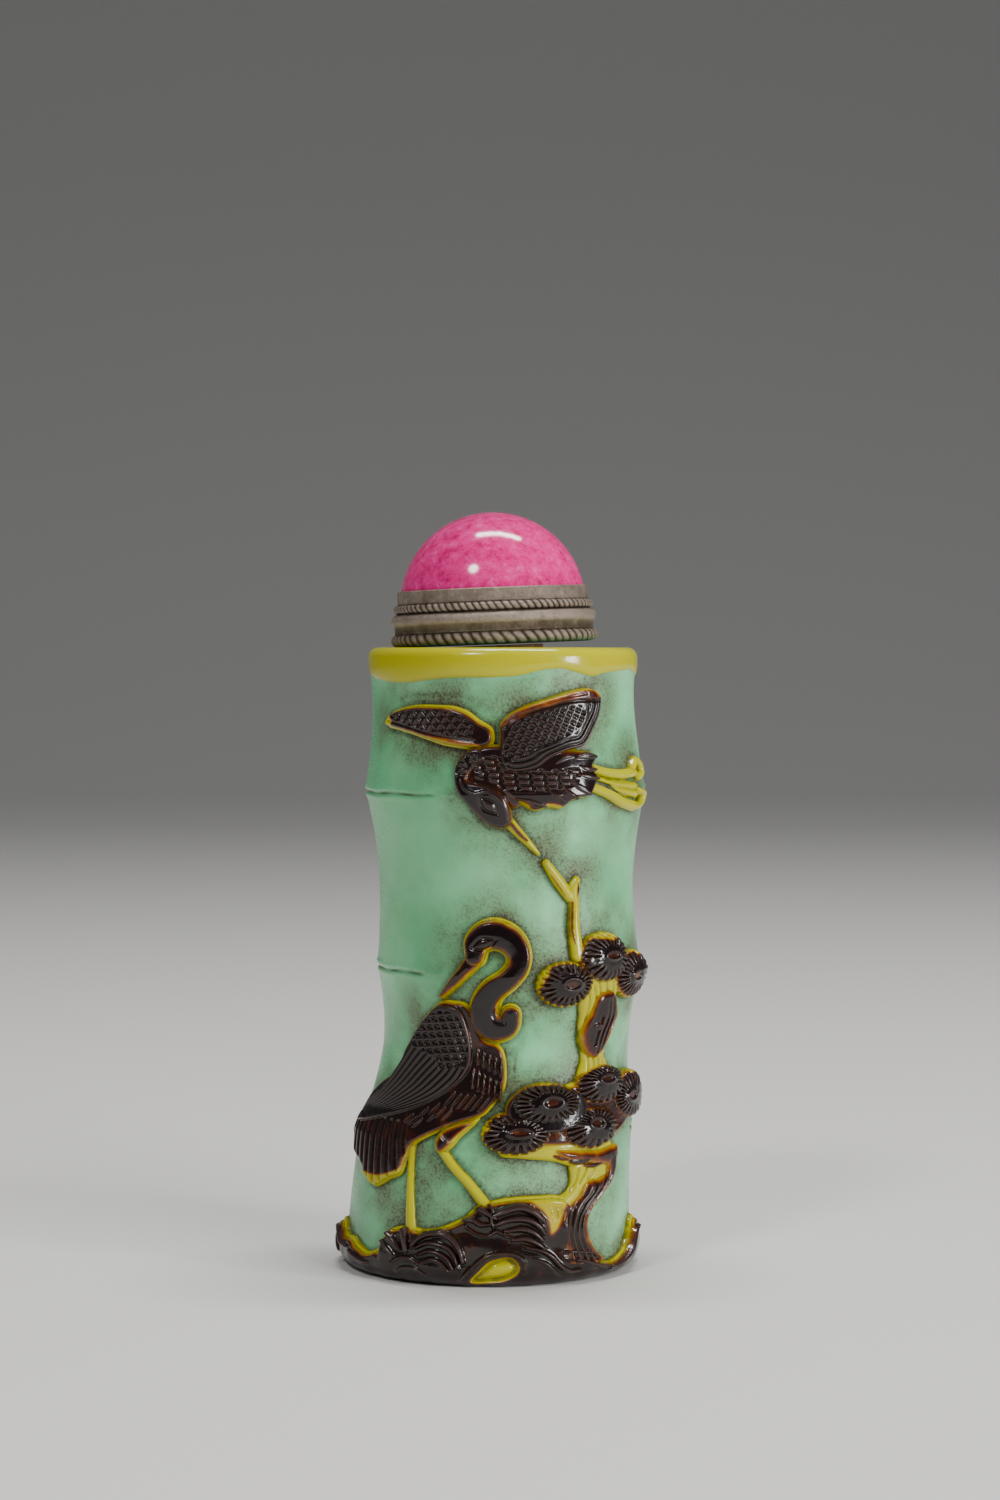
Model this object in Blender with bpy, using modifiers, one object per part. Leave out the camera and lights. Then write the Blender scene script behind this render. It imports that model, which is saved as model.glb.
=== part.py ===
"""Carved overlay glass snuff bottle: a bamboo-shaped body with cranes, pine and rocks in relief, and its stopper.

Units are metres, +Z is up. The origin is the centre of the underside, and the carved front faces -Y.
The relief is drawn flat, in millimetres of a body 64.5 high, and then wrapped round the bamboo.
"""

import math
from dataclasses import dataclass

import bmesh
import bpy

# Body of the bottle
BODY_HEIGHT = 0.0645
FOOT_RADIUS = 0.0150
LEAN = 0.0020
RIM_ROUND = 0.0009
FOOT_ROUND = 0.0016
BODY_STEPS = 36
PROFILE_SHARES = (0.945, 0.895, 0.83, 0.71, 0.614, 0.54, 0.43, 0.366, 0.29, 0.12)

# Hollow of the bottle
WALL = 0.0030
FLOOR = 0.0040
NECK_LENGTH = 0.0115
MOUTH_RADIUS = 0.0055
MOUTH_CHAMFER = 0.0004
MOUTH_SHIFT = -0.0007
SHOULDER_HEIGHT = 0.0040
HOLLOW_STEPS = 20

# Relief: how far each layer stands proud of the ground, and how deep it is rooted
YELLOW_HEIGHT = 0.0005
LOW_RELIEF = 0.0009
HIGH_RELIEF = 0.0013
CARVED_ROUND = 0.00035
RELIEF_ROOT = 0.0012
ROCK_HEIGHT = 0.0008
ROCK_SHELF = 0.0032
ROCK_BEVEL = 0.0010

# Stopper
STOPPER_TILT = math.radians(2.5)
FIT_GAP = 0.0003
COLLAR_HEIGHT = 0.0059
COLLAR_RADIUS = 0.0106
LIP_SETBACK = 0.0005
LIP_WALL = 0.0004
LIP_HEIGHT = 0.0012
COLLAR_FLOOR = 0.0010
ROPE_RADIUS = 0.00045
STONE_RISE = 0.0080
CORK_DEPTH = 0.0060
CORK_TAPER = 0.0003
TURNED_STEPS = 24

# Flat drawing of the relief: millimetres round the body at the drawing radius, and up a body of the drawing height
MM = 0.001
WELD = 0.000001
DRAWING_HEIGHT = 64.5
DRAWING_RADIUS = 13.5
ARC_STEP = 3.2
RISE_STEP = 4.5
FLAT_ANGLE = math.radians(1.0)

# Pine clusters: each ring's reach as a share of the disc, its height as a share of the relief, and its groove
CLUSTER_RINGS = ((1.0, 0.42, 0.86), (0.80, 0.90, 0.90), (0.22, 1.0, 1.0))
CLUSTER_GROOVE = 1.8


@dataclass(frozen=True)
class Station:
    """One level of the bamboo, as shares of the body's height and of the foot's radius."""

    height: float
    radius: float


FOOT = Station(0.0, 1.0)
LOWER_JOINT = Station(0.228, 0.950)
LOWER_WAIST = Station(0.366, 0.858)
MIDDLE_JOINT = Station(0.488, 0.920)
MIDDLE_WAIST = Station(0.614, 0.885)
UPPER_JOINT = Station(0.772, 0.979)
UPPER_WAIST = Station(0.915, 0.914)
RIM = Station(0.975, 0.931)
BAMBOO = (FOOT, LOWER_JOINT, LOWER_WAIST, MIDDLE_JOINT, MIDDLE_WAIST, UPPER_JOINT, UPPER_WAIST, RIM)
WAISTS = (LOWER_WAIST, MIDDLE_WAIST, UPPER_WAIST)
JOINTS = (LOWER_JOINT, MIDDLE_JOINT, UPPER_JOINT)
JOINT_SHARPNESS = 1.7
JOINT_RIDGE = 0.00015


def ground_radius(height):
    """Radius of the bare bamboo at a height: the joints are ridges, and the waists between them are hollowed."""
    share = min(max(height / BODY_HEIGHT, 0.0), 1.0)
    if share >= RIM.height:
        return FOOT_RADIUS * RIM.radius
    lower = max(i for i, station in enumerate(BAMBOO[:-1]) if station.height <= share)
    below, above = BAMBOO[lower], BAMBOO[lower + 1]
    along = (share - below.height) / (above.height - below.height)
    if below in WAISTS:
        return FOOT_RADIUS * (below.radius + (above.radius - below.radius) * along**JOINT_SHARPNESS)
    if above in WAISTS:
        return FOOT_RADIUS * (above.radius + (below.radius - above.radius) * (1 - along) ** JOINT_SHARPNESS)
    return FOOT_RADIUS * (below.radius + (above.radius - below.radius) * along)


def smooth_rise(value, start, end):
    """0 before the start, 1 after the end, and a smooth rise between them."""
    along = min(max((value - start) / (end - start), 0.0), 1.0)
    return along * along * (3 - 2 * along)


def lean(height):
    """Sideways drift of the body's centre line, which the real bamboo shape has."""
    share = height / BODY_HEIGHT
    return LEAN * (smooth_rise(share, 0.08, 0.43) - 0.29 * min(max((share - 0.48) / 0.52, 0.0), 1.0))


def mouth_centre():
    return lean(BODY_HEIGHT) + MOUTH_SHIFT


def to_bottle(arc, rise, proud):
    """A point of the flat drawing, in its millimetres, placed on the body. proud is in metres."""
    height = rise * BODY_HEIGHT / DRAWING_HEIGHT
    angle = arc / DRAWING_RADIUS
    radius = ground_radius(height) + proud
    return lean(height) + radius * math.sin(angle), -radius * math.cos(angle), height


# Helpers for objects


def new_collection(name, hidden=False):
    collection = bpy.data.collections.new(name)
    bpy.context.scene.collection.children.link(collection)
    collection.hide_render = hidden
    return collection


def new_object(name, data, collection):
    obj = bpy.data.objects.new(name, data)
    collection.objects.link(obj)
    if collection.hide_render:
        obj.hide_render = True
        obj.display_type = "WIRE"
    return obj


def material(name, colour, roughness, metallic=0.0):
    made = bpy.data.materials.new(name)
    made.use_nodes = True
    shader = made.node_tree.nodes["Principled BSDF"]
    shader.inputs["Base Color"].default_value = (*colour, 1.0)
    shader.inputs["Roughness"].default_value = roughness
    shader.inputs["Metallic"].default_value = metallic
    return made


def evaluated_mesh(obj, name):
    """The object's mesh with its modifiers or its curve settings applied, welded. The object itself is removed."""
    bpy.context.view_layer.update()
    graph = bpy.context.evaluated_depsgraph_get()
    mesh = bpy.data.meshes.new_from_object(obj.evaluated_get(graph))
    mesh.name = name
    bpy.data.objects.remove(obj)
    shape = bmesh.new()
    shape.from_mesh(mesh)
    bmesh.ops.remove_doubles(shape, verts=shape.verts, dist=WELD)
    shape.to_mesh(mesh)
    shape.free()
    return mesh


def turned_object(name, profile, steps, collection):
    """A profile of (radius, height) points, from top to bottom down the outer side, turned about Z."""
    mesh = bpy.data.meshes.new(name)
    shape = bmesh.new()
    rim = [shape.verts.new((radius, 0.0, height)) for radius, height in profile]
    for start, end in zip(rim, rim[1:]):
        shape.edges.new((start, end))
    shape.to_mesh(mesh)
    shape.free()
    obj = new_object(name, mesh, collection)
    screw = obj.modifiers.new("Turn", "SCREW")
    screw.steps = steps
    screw.render_steps = steps
    screw.use_merge_vertices = True
    screw.merge_threshold = 0.00001
    return obj


def arc_points(centre_radius, centre_height, bend, start, end, steps):
    """Points of a quarter-round or a bead in a profile, from one angle in degrees to another."""
    angles = [math.radians(start + (end - start) * i / steps) for i in range(steps + 1)]
    return [(centre_radius + bend * math.cos(a), centre_height + bend * math.sin(a)) for a in angles]


# Body and hollow


def body_profile():
    """Down the outside, from the centre of the rim to the centre of the underside."""
    top = ground_radius(BODY_HEIGHT)
    foot = ground_radius(0.0)
    points = [(0.0, BODY_HEIGHT)]
    points += arc_points(top - RIM_ROUND, BODY_HEIGHT - RIM_ROUND, RIM_ROUND, 90, 0, 3)
    levels = {share * BODY_HEIGHT: ground_radius(share * BODY_HEIGHT) for share in PROFILE_SHARES}
    for joint in JOINTS:
        level = joint.height * BODY_HEIGHT
        levels[level] = FOOT_RADIUS * joint.radius + JOINT_RIDGE
        levels[level - 3 * JOINT_RIDGE] = FOOT_RADIUS * joint.radius
    points += [(levels[level], level) for level in sorted(levels, reverse=True)]
    points += arc_points(foot - FOOT_ROUND, FOOT_ROUND, FOOT_ROUND, 0, -90, 3)
    points.append((0.0, 0.0))
    return points


def hollow_profile():
    """The cutter of the hollow: neck bore with its chamfer, shoulder, inner wall and rounded floor."""
    neck_end = BODY_HEIGHT - NECK_LENGTH
    shoulder_end = neck_end - SHOULDER_HEIGHT
    points = [(0.0, BODY_HEIGHT + MOUTH_CHAMFER)]
    points.append((MOUTH_RADIUS + 2 * MOUTH_CHAMFER, BODY_HEIGHT + MOUTH_CHAMFER))
    points.append((MOUTH_RADIUS, BODY_HEIGHT - MOUTH_CHAMFER))
    points.append((MOUTH_RADIUS, neck_end))
    widest = ground_radius(shoulder_end) - WALL
    for turn in (30, 60, 90):
        spread = math.sin(math.radians(turn))
        drop = 1 - math.cos(math.radians(turn))
        points.append((MOUTH_RADIUS + (widest - MOUTH_RADIUS) * spread, neck_end - SHOULDER_HEIGHT * drop))
    corner = WALL
    steps = 7
    for i in range(1, steps):
        level = shoulder_end + (FLOOR + corner - shoulder_end) * i / steps
        points.append((ground_radius(level) - WALL, level))
    base = ground_radius(FLOOR + corner) - WALL
    points += arc_points(base - corner, FLOOR + corner, corner, 0, -90, 3)
    points.append((0.0, FLOOR))
    return points


def shift_sideways(mesh, drift):
    """Moves each vertex along X by the drift at its height."""
    for vertex in mesh.vertices:
        vertex.co.x += drift(vertex.co.z)


def hollow_drift(height):
    """The hollow follows the body's lean, and its neck follows the mouth."""
    shoulder_end = BODY_HEIGHT - NECK_LENGTH - SHOULDER_HEIGHT
    into_neck = smooth_rise(height, shoulder_end, BODY_HEIGHT - NECK_LENGTH)
    return lean(min(height, BODY_HEIGHT)) * (1 - into_neck) + mouth_centre() * into_neck


# Relief drawn flat


def cut_into_strips(shape):
    """Cuts a flat-drawn shape along regular lines, so that it bends round the body when it is wrapped."""
    for axis, step in ((0, ARC_STEP), (1, RISE_STEP)):
        values = [vertex.co[axis] for vertex in shape.verts]
        first = math.floor(min(values) / step) + 1
        last = math.ceil(max(values) / step)
        for line in range(first, last):
            normal = (1.0, 0.0, 0.0) if axis == 0 else (0.0, 1.0, 0.0)
            point = tuple(step * line * component for component in normal)
            geometry = shape.verts[:] + shape.edges[:] + shape.faces[:]
            bmesh.ops.bisect_plane(shape, geom=geometry, dist=0.02, plane_co=point, plane_no=normal)


def wrap(mesh, name, collection, strips=True):
    """Turns a mesh drawn flat, with its heights in millimetres too, into a piece of relief on the body."""
    shape = bmesh.new()
    shape.from_mesh(mesh)
    bmesh.ops.remove_doubles(shape, verts=shape.verts, dist=WELD / MM)
    if strips:
        bmesh.ops.dissolve_limit(shape, angle_limit=FLAT_ANGLE, verts=shape.verts, edges=shape.edges)
        cut_into_strips(shape)
    bmesh.ops.triangulate(shape, faces=shape.faces)
    for vertex in shape.verts:
        vertex.co = to_bottle(vertex.co.x, vertex.co.y, vertex.co.z * MM)
    bmesh.ops.recalc_face_normals(shape, faces=shape.faces)
    if shape.calc_volume(signed=True) < 0:
        bmesh.ops.reverse_faces(shape, faces=shape.faces)
    shape.to_mesh(mesh)
    shape.free()
    return new_object(name, mesh, collection)


def pad(name, outline, proud, collection, bend=CARVED_ROUND):
    """A raised area with a smooth outline and a rounded edge, rooted in the wall."""
    edge = bend / MM
    thickness = (proud + RELIEF_ROOT) / MM
    curve = bpy.data.curves.new(name, "CURVE")
    curve.dimensions = "2D"
    curve.fill_mode = "BOTH"
    curve.resolution_u = 2
    curve.bevel_resolution = 0
    curve.bevel_depth = edge
    curve.offset = -edge
    curve.extrude = thickness / 2 - edge
    spline = curve.splines.new("BEZIER")
    spline.bezier_points.add(len(outline) - 1)
    for point, (arc, rise) in zip(spline.bezier_points, outline):
        point.co = (arc, rise, 0.0)
        point.handle_left_type = "AUTO"
        point.handle_right_type = "AUTO"
    spline.use_cyclic_u = True
    flat = bpy.data.objects.new(name, curve)
    collection.objects.link(flat)
    mesh = evaluated_mesh(flat, name)
    for vertex in mesh.vertices:
        vertex.co.z += proud / MM - thickness / 2
    return wrap(mesh, name, collection)


def stroke(name, route, proud, collection, sides=6):
    """A tapering ridge, such as a leg, a beak or a feather. The route is a list of (arc, rise, half width)."""
    curve = bpy.data.curves.new(name, "CURVE")
    curve.dimensions = "3D"
    curve.resolution_u = 2
    curve.bevel_depth = 1.0
    curve.bevel_resolution = (sides - 4) // 2
    curve.use_fill_caps = True
    spline = curve.splines.new("BEZIER")
    spline.bezier_points.add(len(route) - 1)
    for point, (arc, rise, half_width) in zip(spline.bezier_points, route):
        point.co = (arc, rise, 0.0)
        point.radius = half_width
        point.handle_left_type = "AUTO"
        point.handle_right_type = "AUTO"
    flat = bpy.data.objects.new(name, curve)
    collection.objects.link(flat)
    mesh = evaluated_mesh(flat, name)
    widest = max(half_width for arc, rise, half_width in route)
    for vertex in mesh.vertices:
        above = vertex.co.z / widest
        vertex.co.z = above * (proud if above > 0 else RELIEF_ROOT) / MM
    return wrap(mesh, name, collection, strips=False)


def needle_cluster(name, centre, half_width, half_rise, needles, proud, collection, turn=0.0):
    """A disc of pine needles: a scalloped dome with radial grooves and a raised boss in its middle."""
    shape = bmesh.new()
    bmesh.ops.create_circle(shape, cap_ends=True, segments=2 * needles, radius=1.0)
    face = shape.faces[:][0]
    rings = [(list(face.verts), 1.0, -RELIEF_ROOT / MM, 1.0)]
    for reach, level, groove in CLUSTER_RINGS:
        below = face
        made = bmesh.ops.extrude_face_region(shape, geom=[below], use_keep_orig=True)
        face = next(item for item in made["geom"] if isinstance(item, bmesh.types.BMFace))
        if len(rings) > 1:
            bmesh.ops.delete(shape, geom=[below], context="FACES_ONLY")
        rings.append((list(face.verts), reach, level * proud / MM, groove))
    start = math.pi / (2 * needles)
    for ring, reach, level, groove in rings:
        for vertex in ring:
            angle = math.atan2(vertex.co.y, vertex.co.x)
            grooved = round((angle + 2 * math.pi) / (2 * start)) % 2
            spread = reach * (groove if grooved else 1.0)
            drop = CLUSTER_GROOVE * (1 - groove) if grooved else 0.0
            vertex.co = (spread * math.cos(angle + turn), spread * math.sin(angle + turn), level * (1 - drop))
    for vertex in shape.verts:
        vertex.co.x = centre[0] + vertex.co.x * half_width
        vertex.co.y = centre[1] + vertex.co.y * half_rise
    mesh = bpy.data.meshes.new(name)
    shape.to_mesh(mesh)
    shape.free()
    return wrap(mesh, name, collection, strips=False)


def fan(start, end, tips, half_widths):
    """Feather routes that spread from points between start and end to the tips, bowed a little."""
    routes = []
    for number, tip in enumerate(tips):
        along = number / max(len(tips) - 1, 1)
        root = [start[k] + (end[k] - start[k]) * along for k in (0, 1)]
        middle = [(root[k] + tip[k]) / 2 for k in (0, 1)]
        routes.append([(*root, half_widths[0]), (*middle, half_widths[1]), (*tip, half_widths[2])])
    return routes


# The figures


def flying_crane(collection):
    left_wing = [(-13.3, 57.2), (-11.9, 58.3), (-9.2, 58.9), (-5.4, 58.8), (-2.8, 57.9), (-1.1, 56.2)]
    left_wing += [(-1.6, 54.7), (-4.2, 54.2), (-7.6, 55.0), (-11.6, 56.2)]
    right_wing = [(-0.5, 56.0), (0.9, 58.3), (4.3, 59.8), (8.4, 60.6), (10.0, 60.3), (9.8, 57.8)]
    right_wing += [(8.0, 55.5), (4.6, 53.3), (1.6, 52.1), (-0.5, 53.0)]
    body = [(-3.2, 54.2), (0.0, 54.6), (4.0, 54.4), (8.6, 54.3), (9.2, 51.9), (7.8, 49.6), (4.8, 48.6)]
    body += [(1.6, 48.7), (-0.6, 50.2), (-3.0, 51.6)]
    neck = [(-2.6, 54.9), (-4.2, 54.2), (-4.7, 51.9), (-3.9, 49.5), (-2.1, 47.3), (-0.3, 46.5)]
    neck += [(0.7, 47.2), (0.1, 49.4), (-1.4, 50.8), (-1.8, 53.2)]
    pad("flying_left_wing", left_wing, LOW_RELIEF, collection)
    pad("flying_body", body, LOW_RELIEF * 1.05, collection)
    pad("flying_neck", neck, LOW_RELIEF * 1.2, collection)
    pad("flying_right_wing", right_wing, HIGH_RELIEF, collection)
    stroke("flying_beak", [(0.2, 47.2, 0.75), (1.6, 45.6, 0.5), (3.0, 44.0, 0.35)], YELLOW_HEIGHT, collection)
    for number, (lift, drop) in enumerate(((52.1, 51.3), (50.4, 48.6))):
        leg = [(8.4, lift, 0.6), (11.6, (lift + drop) / 2, 0.5), (15.2, drop, 0.45)]
        stroke(f"flying_leg_{number + 1}", leg, YELLOW_HEIGHT, collection)
        foot = [(14.9, drop - 0.4, 0.5), (16.1, drop + 0.7, 0.75), (16.9, drop + 0.5, 0.6)]
        stroke(f"flying_foot_{number + 1}", foot, YELLOW_HEIGHT * 1.3, collection)
    tips = [(9.0, 59.4), (8.7, 57.8), (7.4, 56.2), (5.4, 54.7)]
    for number, route in enumerate(fan((4.6, 57.6), (2.2, 53.2), tips, (0.28, 0.4, 0.25))):
        stroke(f"flying_feather_{number + 1}", route, HIGH_RELIEF * 1.18, collection, sides=4)


def standing_crane(collection):
    neck = [(-3.2, 33.6, 1.1), (-2.4, 34.9, 1.5), (-1.0, 35.6, 1.5), (0.4, 34.9, 1.4), (0.9, 33.3, 1.3)]
    neck += [(0.2, 31.6, 1.3), (-1.3, 30.0, 1.4), (-2.3, 28.2, 1.6), (-1.9, 26.3, 1.6), (-0.5, 26.0, 1.4)]
    neck += [(0.4, 27.6, 1.0)]
    body = [(-7.1, 28.8), (-3.9, 28.5), (-2.6, 25.6), (-0.4, 24.1), (0.3, 21.2), (-1.0, 17.8), (-4.3, 16.1)]
    body += [(-7.6, 14.6), (-9.0, 11.6), (-12.4, 9.6), (-15.2, 11.4), (-18.6, 14.0), (-17.6, 17.4)]
    body += [(-13.4, 20.8), (-11.8, 24.0), (-9.6, 26.9)]
    wing = [(-6.9, 28.3), (-4.6, 28.1), (-3.7, 25.4), (-4.0, 21.6), (-5.4, 19.0), (-9.0, 17.4), (-15.6, 16.4)]
    wing += [(-13.0, 20.4), (-11.2, 23.8), (-9.0, 26.7)]
    stroke("standing_neck", neck, HIGH_RELIEF, collection, sides=8)
    stroke("standing_beak", [(-4.0, 32.4, 0.75), (-5.6, 30.7, 0.55), (-7.0, 29.2, 0.3)], LOW_RELIEF, collection)
    pad("standing_body", body, LOW_RELIEF, collection)
    pad("standing_wing", wing, HIGH_RELIEF, collection)
    tips = [(-15.0, 16.9), (-12.6, 16.9), (-9.6, 17.7), (-6.6, 18.7)]
    for number, route in enumerate(fan((-9.4, 22.4), (-4.7, 21.6), tips, (0.3, 0.42, 0.25))):
        stroke(f"standing_feather_{number + 1}", route, HIGH_RELIEF * 1.18, collection, sides=4)
    tips = [(-16.4, 13.4), (-14.2, 11.5), (-12.1, 10.6), (-10.2, 11.2)]
    for number, route in enumerate(fan((-14.2, 15.8), (-9.6, 15.8), tips, (0.5, 0.6, 0.4))):
        stroke(f"standing_tail_{number + 1}", route, LOW_RELIEF * 1.3, collection, sides=4)
    thigh = [(-2.2, 16.8, 0.7), (-3.6, 15.1, 0.8), (-4.9, 13.7, 0.6)]
    stroke("standing_thigh", thigh, LOW_RELIEF, collection)
    stroke("standing_leg_1", [(-8.3, 14.4, 0.5), (-8.0, 9.8, 0.5), (-7.5, 4.8, 0.6)], YELLOW_HEIGHT, collection)
    stroke("standing_leg_2", [(-5.0, 13.8, 0.55), (-2.5, 11.0, 0.5), (-0.2, 8.0, 0.55)], YELLOW_HEIGHT, collection)


def upper_pine(collection):
    stroke("twig_slant", [(3.1, 43.8, 0.5), (4.4, 42.0, 0.5), (6.3, 39.7, 0.6)], YELLOW_HEIGHT * 1.2, collection)
    twig = [(6.6, 40.7, 0.75), (7.1, 39.0, 0.55), (7.0, 36.2, 0.6), (7.2, 33.6, 0.7)]
    stroke("twig_stem", twig, YELLOW_HEIGHT * 1.3, collection)
    trunk = [(10.0, 31.0, 1.6), (10.5, 28.0, 2.0), (10.3, 25.6, 2.3), (9.9, 23.4, 1.7), (9.9, 21.6, 1.6)]
    stroke("pine_trunk_middle", trunk, LOW_RELIEF, collection, sides=8)
    needle_cluster("pine_upper_left", (5.8, 30.5), 2.9, 2.5, 8, HIGH_RELIEF, collection)
    needle_cluster("pine_upper_right", (14.6, 31.0), 2.9, 2.6, 8, HIGH_RELIEF * 0.9, collection)
    needle_cluster("pine_upper_top", (10.3, 33.1), 2.9, 2.6, 8, HIGH_RELIEF * 1.05, collection)


def lower_pine(collection):
    trunk = [(11.0, 16.0, 1.4), (11.4, 13.0, 2.1), (10.9, 10.6, 2.3), (8.9, 8.2, 2.2), (8.2, 5.6, 1.6)]
    trunk += [(8.7, 3.4, 1.7), (9.5, 1.8, 2.0)]
    stroke("pine_trunk_lower", trunk, LOW_RELIEF * 1.05, collection, sides=8)
    stroke("pine_branch", [(1.0, 14.2, 0.7), (5.6, 13.4, 1.0), (9.6, 12.2, 1.3)], LOW_RELIEF * 0.9, collection)
    needle_cluster("pine_lower_left", (1.8, 15.5), 3.5, 2.3, 8, HIGH_RELIEF * 0.92, collection, turn=-0.08)
    needle_cluster("pine_lower_right", (9.5, 15.6), 3.4, 2.4, 8, HIGH_RELIEF * 1.0, collection, turn=0.1)
    needle_cluster("pine_edge", (16.7, 18.6), 3.5, 2.7, 8, HIGH_RELIEF * 0.95, collection)
    needle_cluster("pine_upper_mid", (10.4, 19.9), 3.2, 2.2, 8, HIGH_RELIEF * 1.08, collection)
    needle_cluster("pine_front", (4.9, 18.4), 4.1, 2.5, 9, HIGH_RELIEF * 1.12, collection, turn=-0.05)


def rock_line(angle):
    """Height in drawing millimetres of the rocks' upper edge, by angle round the body from the front.

    The front rises to the middle, where the standing crane puts its foot, and the back stays low and wavy.
    """
    arc = angle * DRAWING_RADIUS
    front_rise = 5.0 * math.exp(-(((arc - 2.6) / 5.4) ** 2))
    left_rise = 1.9 * math.exp(-(((arc + 8.2) / 2.6) ** 2))
    ends = 1.6 * math.exp(-(((arc - 18.0) / 3.0) ** 2)) + 1.4 * math.exp(-(((arc + 19.5) / 2.6) ** 2))
    waves = 0.25 * math.sin(5 * angle + 0.6) + 0.15 * math.sin(11 * angle)
    return 3.6 + front_rise + left_rise + ends + waves


def rock_band(collection):
    """The carved ground all round the foot: a turned band whose upper edge follows the rock line."""
    foot = ground_radius(0.0) + ROCK_HEIGHT
    profile = [(FOOT_RADIUS - 2 * RELIEF_ROOT, ROCK_SHELF)]
    profile.append((FOOT_RADIUS + ROCK_HEIGHT * 0.4, ROCK_SHELF))
    profile.append((foot, ROCK_SHELF - ROCK_BEVEL))
    profile += arc_points(foot - FOOT_ROUND, FOOT_ROUND * 1.2, FOOT_ROUND, 0, -90, 2)
    profile[-1] = (profile[-1][0], 0.0001)
    profile.append((FOOT_RADIUS - 2 * RELIEF_ROOT, 0.0001))
    profile.append(profile[0])
    mesh = evaluated_mesh(turned_object("rock_band", profile, BODY_STEPS, collection), "rock_band")
    for vertex in mesh.vertices:
        angle = math.atan2(vertex.co.x, -vertex.co.y)
        if vertex.co.z > ROCK_SHELF - 1.2 * ROCK_BEVEL:
            edge = rock_line(angle) * BODY_HEIGHT / DRAWING_HEIGHT
            drop = ROCK_SHELF - vertex.co.z
            height = edge - drop
            settle = ground_radius(height) - ground_radius(0.0)
            vertex.co.x += settle * math.sin(angle)
            vertex.co.y -= settle * math.cos(angle)
            vertex.co.z = height
    shift_sideways(mesh, lean)
    return new_object("rock_band", mesh, collection)


def rocks(collection):
    rock_band(collection)
    lobes = (
        [(-9.9, 5.2, 0.5), (-8.6, 4.6, 0.7), (-7.4, 3.0, 0.5)],
        [(-7.3, 4.9, 0.5), (-6.6, 3.2, 0.6), (-6.9, 1.8, 0.4)],
        [(-6.2, 4.9, 0.5), (-4.3, 5.2, 0.8), (-2.7, 3.6, 0.8), (-2.5, 2.2, 0.5)],
        [(-1.9, 7.6, 0.4), (0.2, 8.1, 0.6), (2.6, 8.1, 0.5), (4.9, 7.2, 0.3)],
        [(-1.6, 6.6, 0.4), (0.6, 6.4, 0.7), (2.9, 5.6, 0.7), (4.8, 4.4, 0.4)],
        [(-2.2, 5.0, 0.5), (0.2, 4.6, 0.7), (2.4, 3.9, 0.7), (3.8, 2.2, 0.5)],
        [(4.6, 3.4, 0.5), (6.0, 2.4, 0.7), (7.4, 1.2, 0.5)],
        [(12.2, 1.6, 0.5), (14.6, 2.4, 0.7), (16.6, 3.8, 0.7), (17.6, 5.2, 0.4)],
        [(-20.2, 4.2, 0.5), (-17.4, 3.4, 0.7), (-15.2, 2.0, 0.6)],
    )
    for number, lobe in enumerate(lobes):
        stroke(f"rock_lobe_{number + 1}", lobe, ROCK_HEIGHT * 1.75, collection, sides=4)


# The pieces


def bottle(collection, cutters):
    relief = new_collection("relief", hidden=True)
    flying_crane(relief)
    standing_crane(relief)
    upper_pine(relief)
    lower_pine(relief)
    rocks(relief)
    mesh = evaluated_mesh(turned_object("bottle_body", body_profile(), BODY_STEPS, collection), "bottle")
    shift_sideways(mesh, lean)
    body = new_object("bottle", mesh, collection)
    hollow_mesh = evaluated_mesh(turned_object("hollow_turned", hollow_profile(), HOLLOW_STEPS, cutters), "hollow")
    shift_sideways(hollow_mesh, hollow_drift)
    hollow = new_object("hollow", hollow_mesh, cutters)
    union = body.modifiers.new("Carving", "BOOLEAN")
    union.operation = "UNION"
    union.operand_type = "COLLECTION"
    union.collection = relief
    cut = body.modifiers.new("Hollow", "BOOLEAN")
    cut.operation = "DIFFERENCE"
    cut.object = hollow
    mesh.materials.append(material("turquoise overlay glass", (0.155, 0.319, 0.202), 0.22))
    mesh.shade_smooth()
    mesh.set_sharp_from_angle(angle=math.radians(35))
    return body


def stopper_seat(collection):
    """The stopper stands a little tilted: its left edge rests on the rim and its right edge is lifted."""
    seat = bpy.data.objects.new("stopper_seat", None)
    collection.objects.link(seat)
    lifted = FIT_GAP + COLLAR_RADIUS * math.sin(STOPPER_TILT)
    middle_of_cork = lifted + CORK_DEPTH / 2
    seat.location = (mouth_centre() - middle_of_cork * math.sin(STOPPER_TILT), 0.0, BODY_HEIGHT + lifted)
    seat.rotation_euler = (0.0, -STOPPER_TILT, 0.0)
    return seat


def lip_radius():
    return COLLAR_RADIUS - LIP_SETBACK


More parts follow.
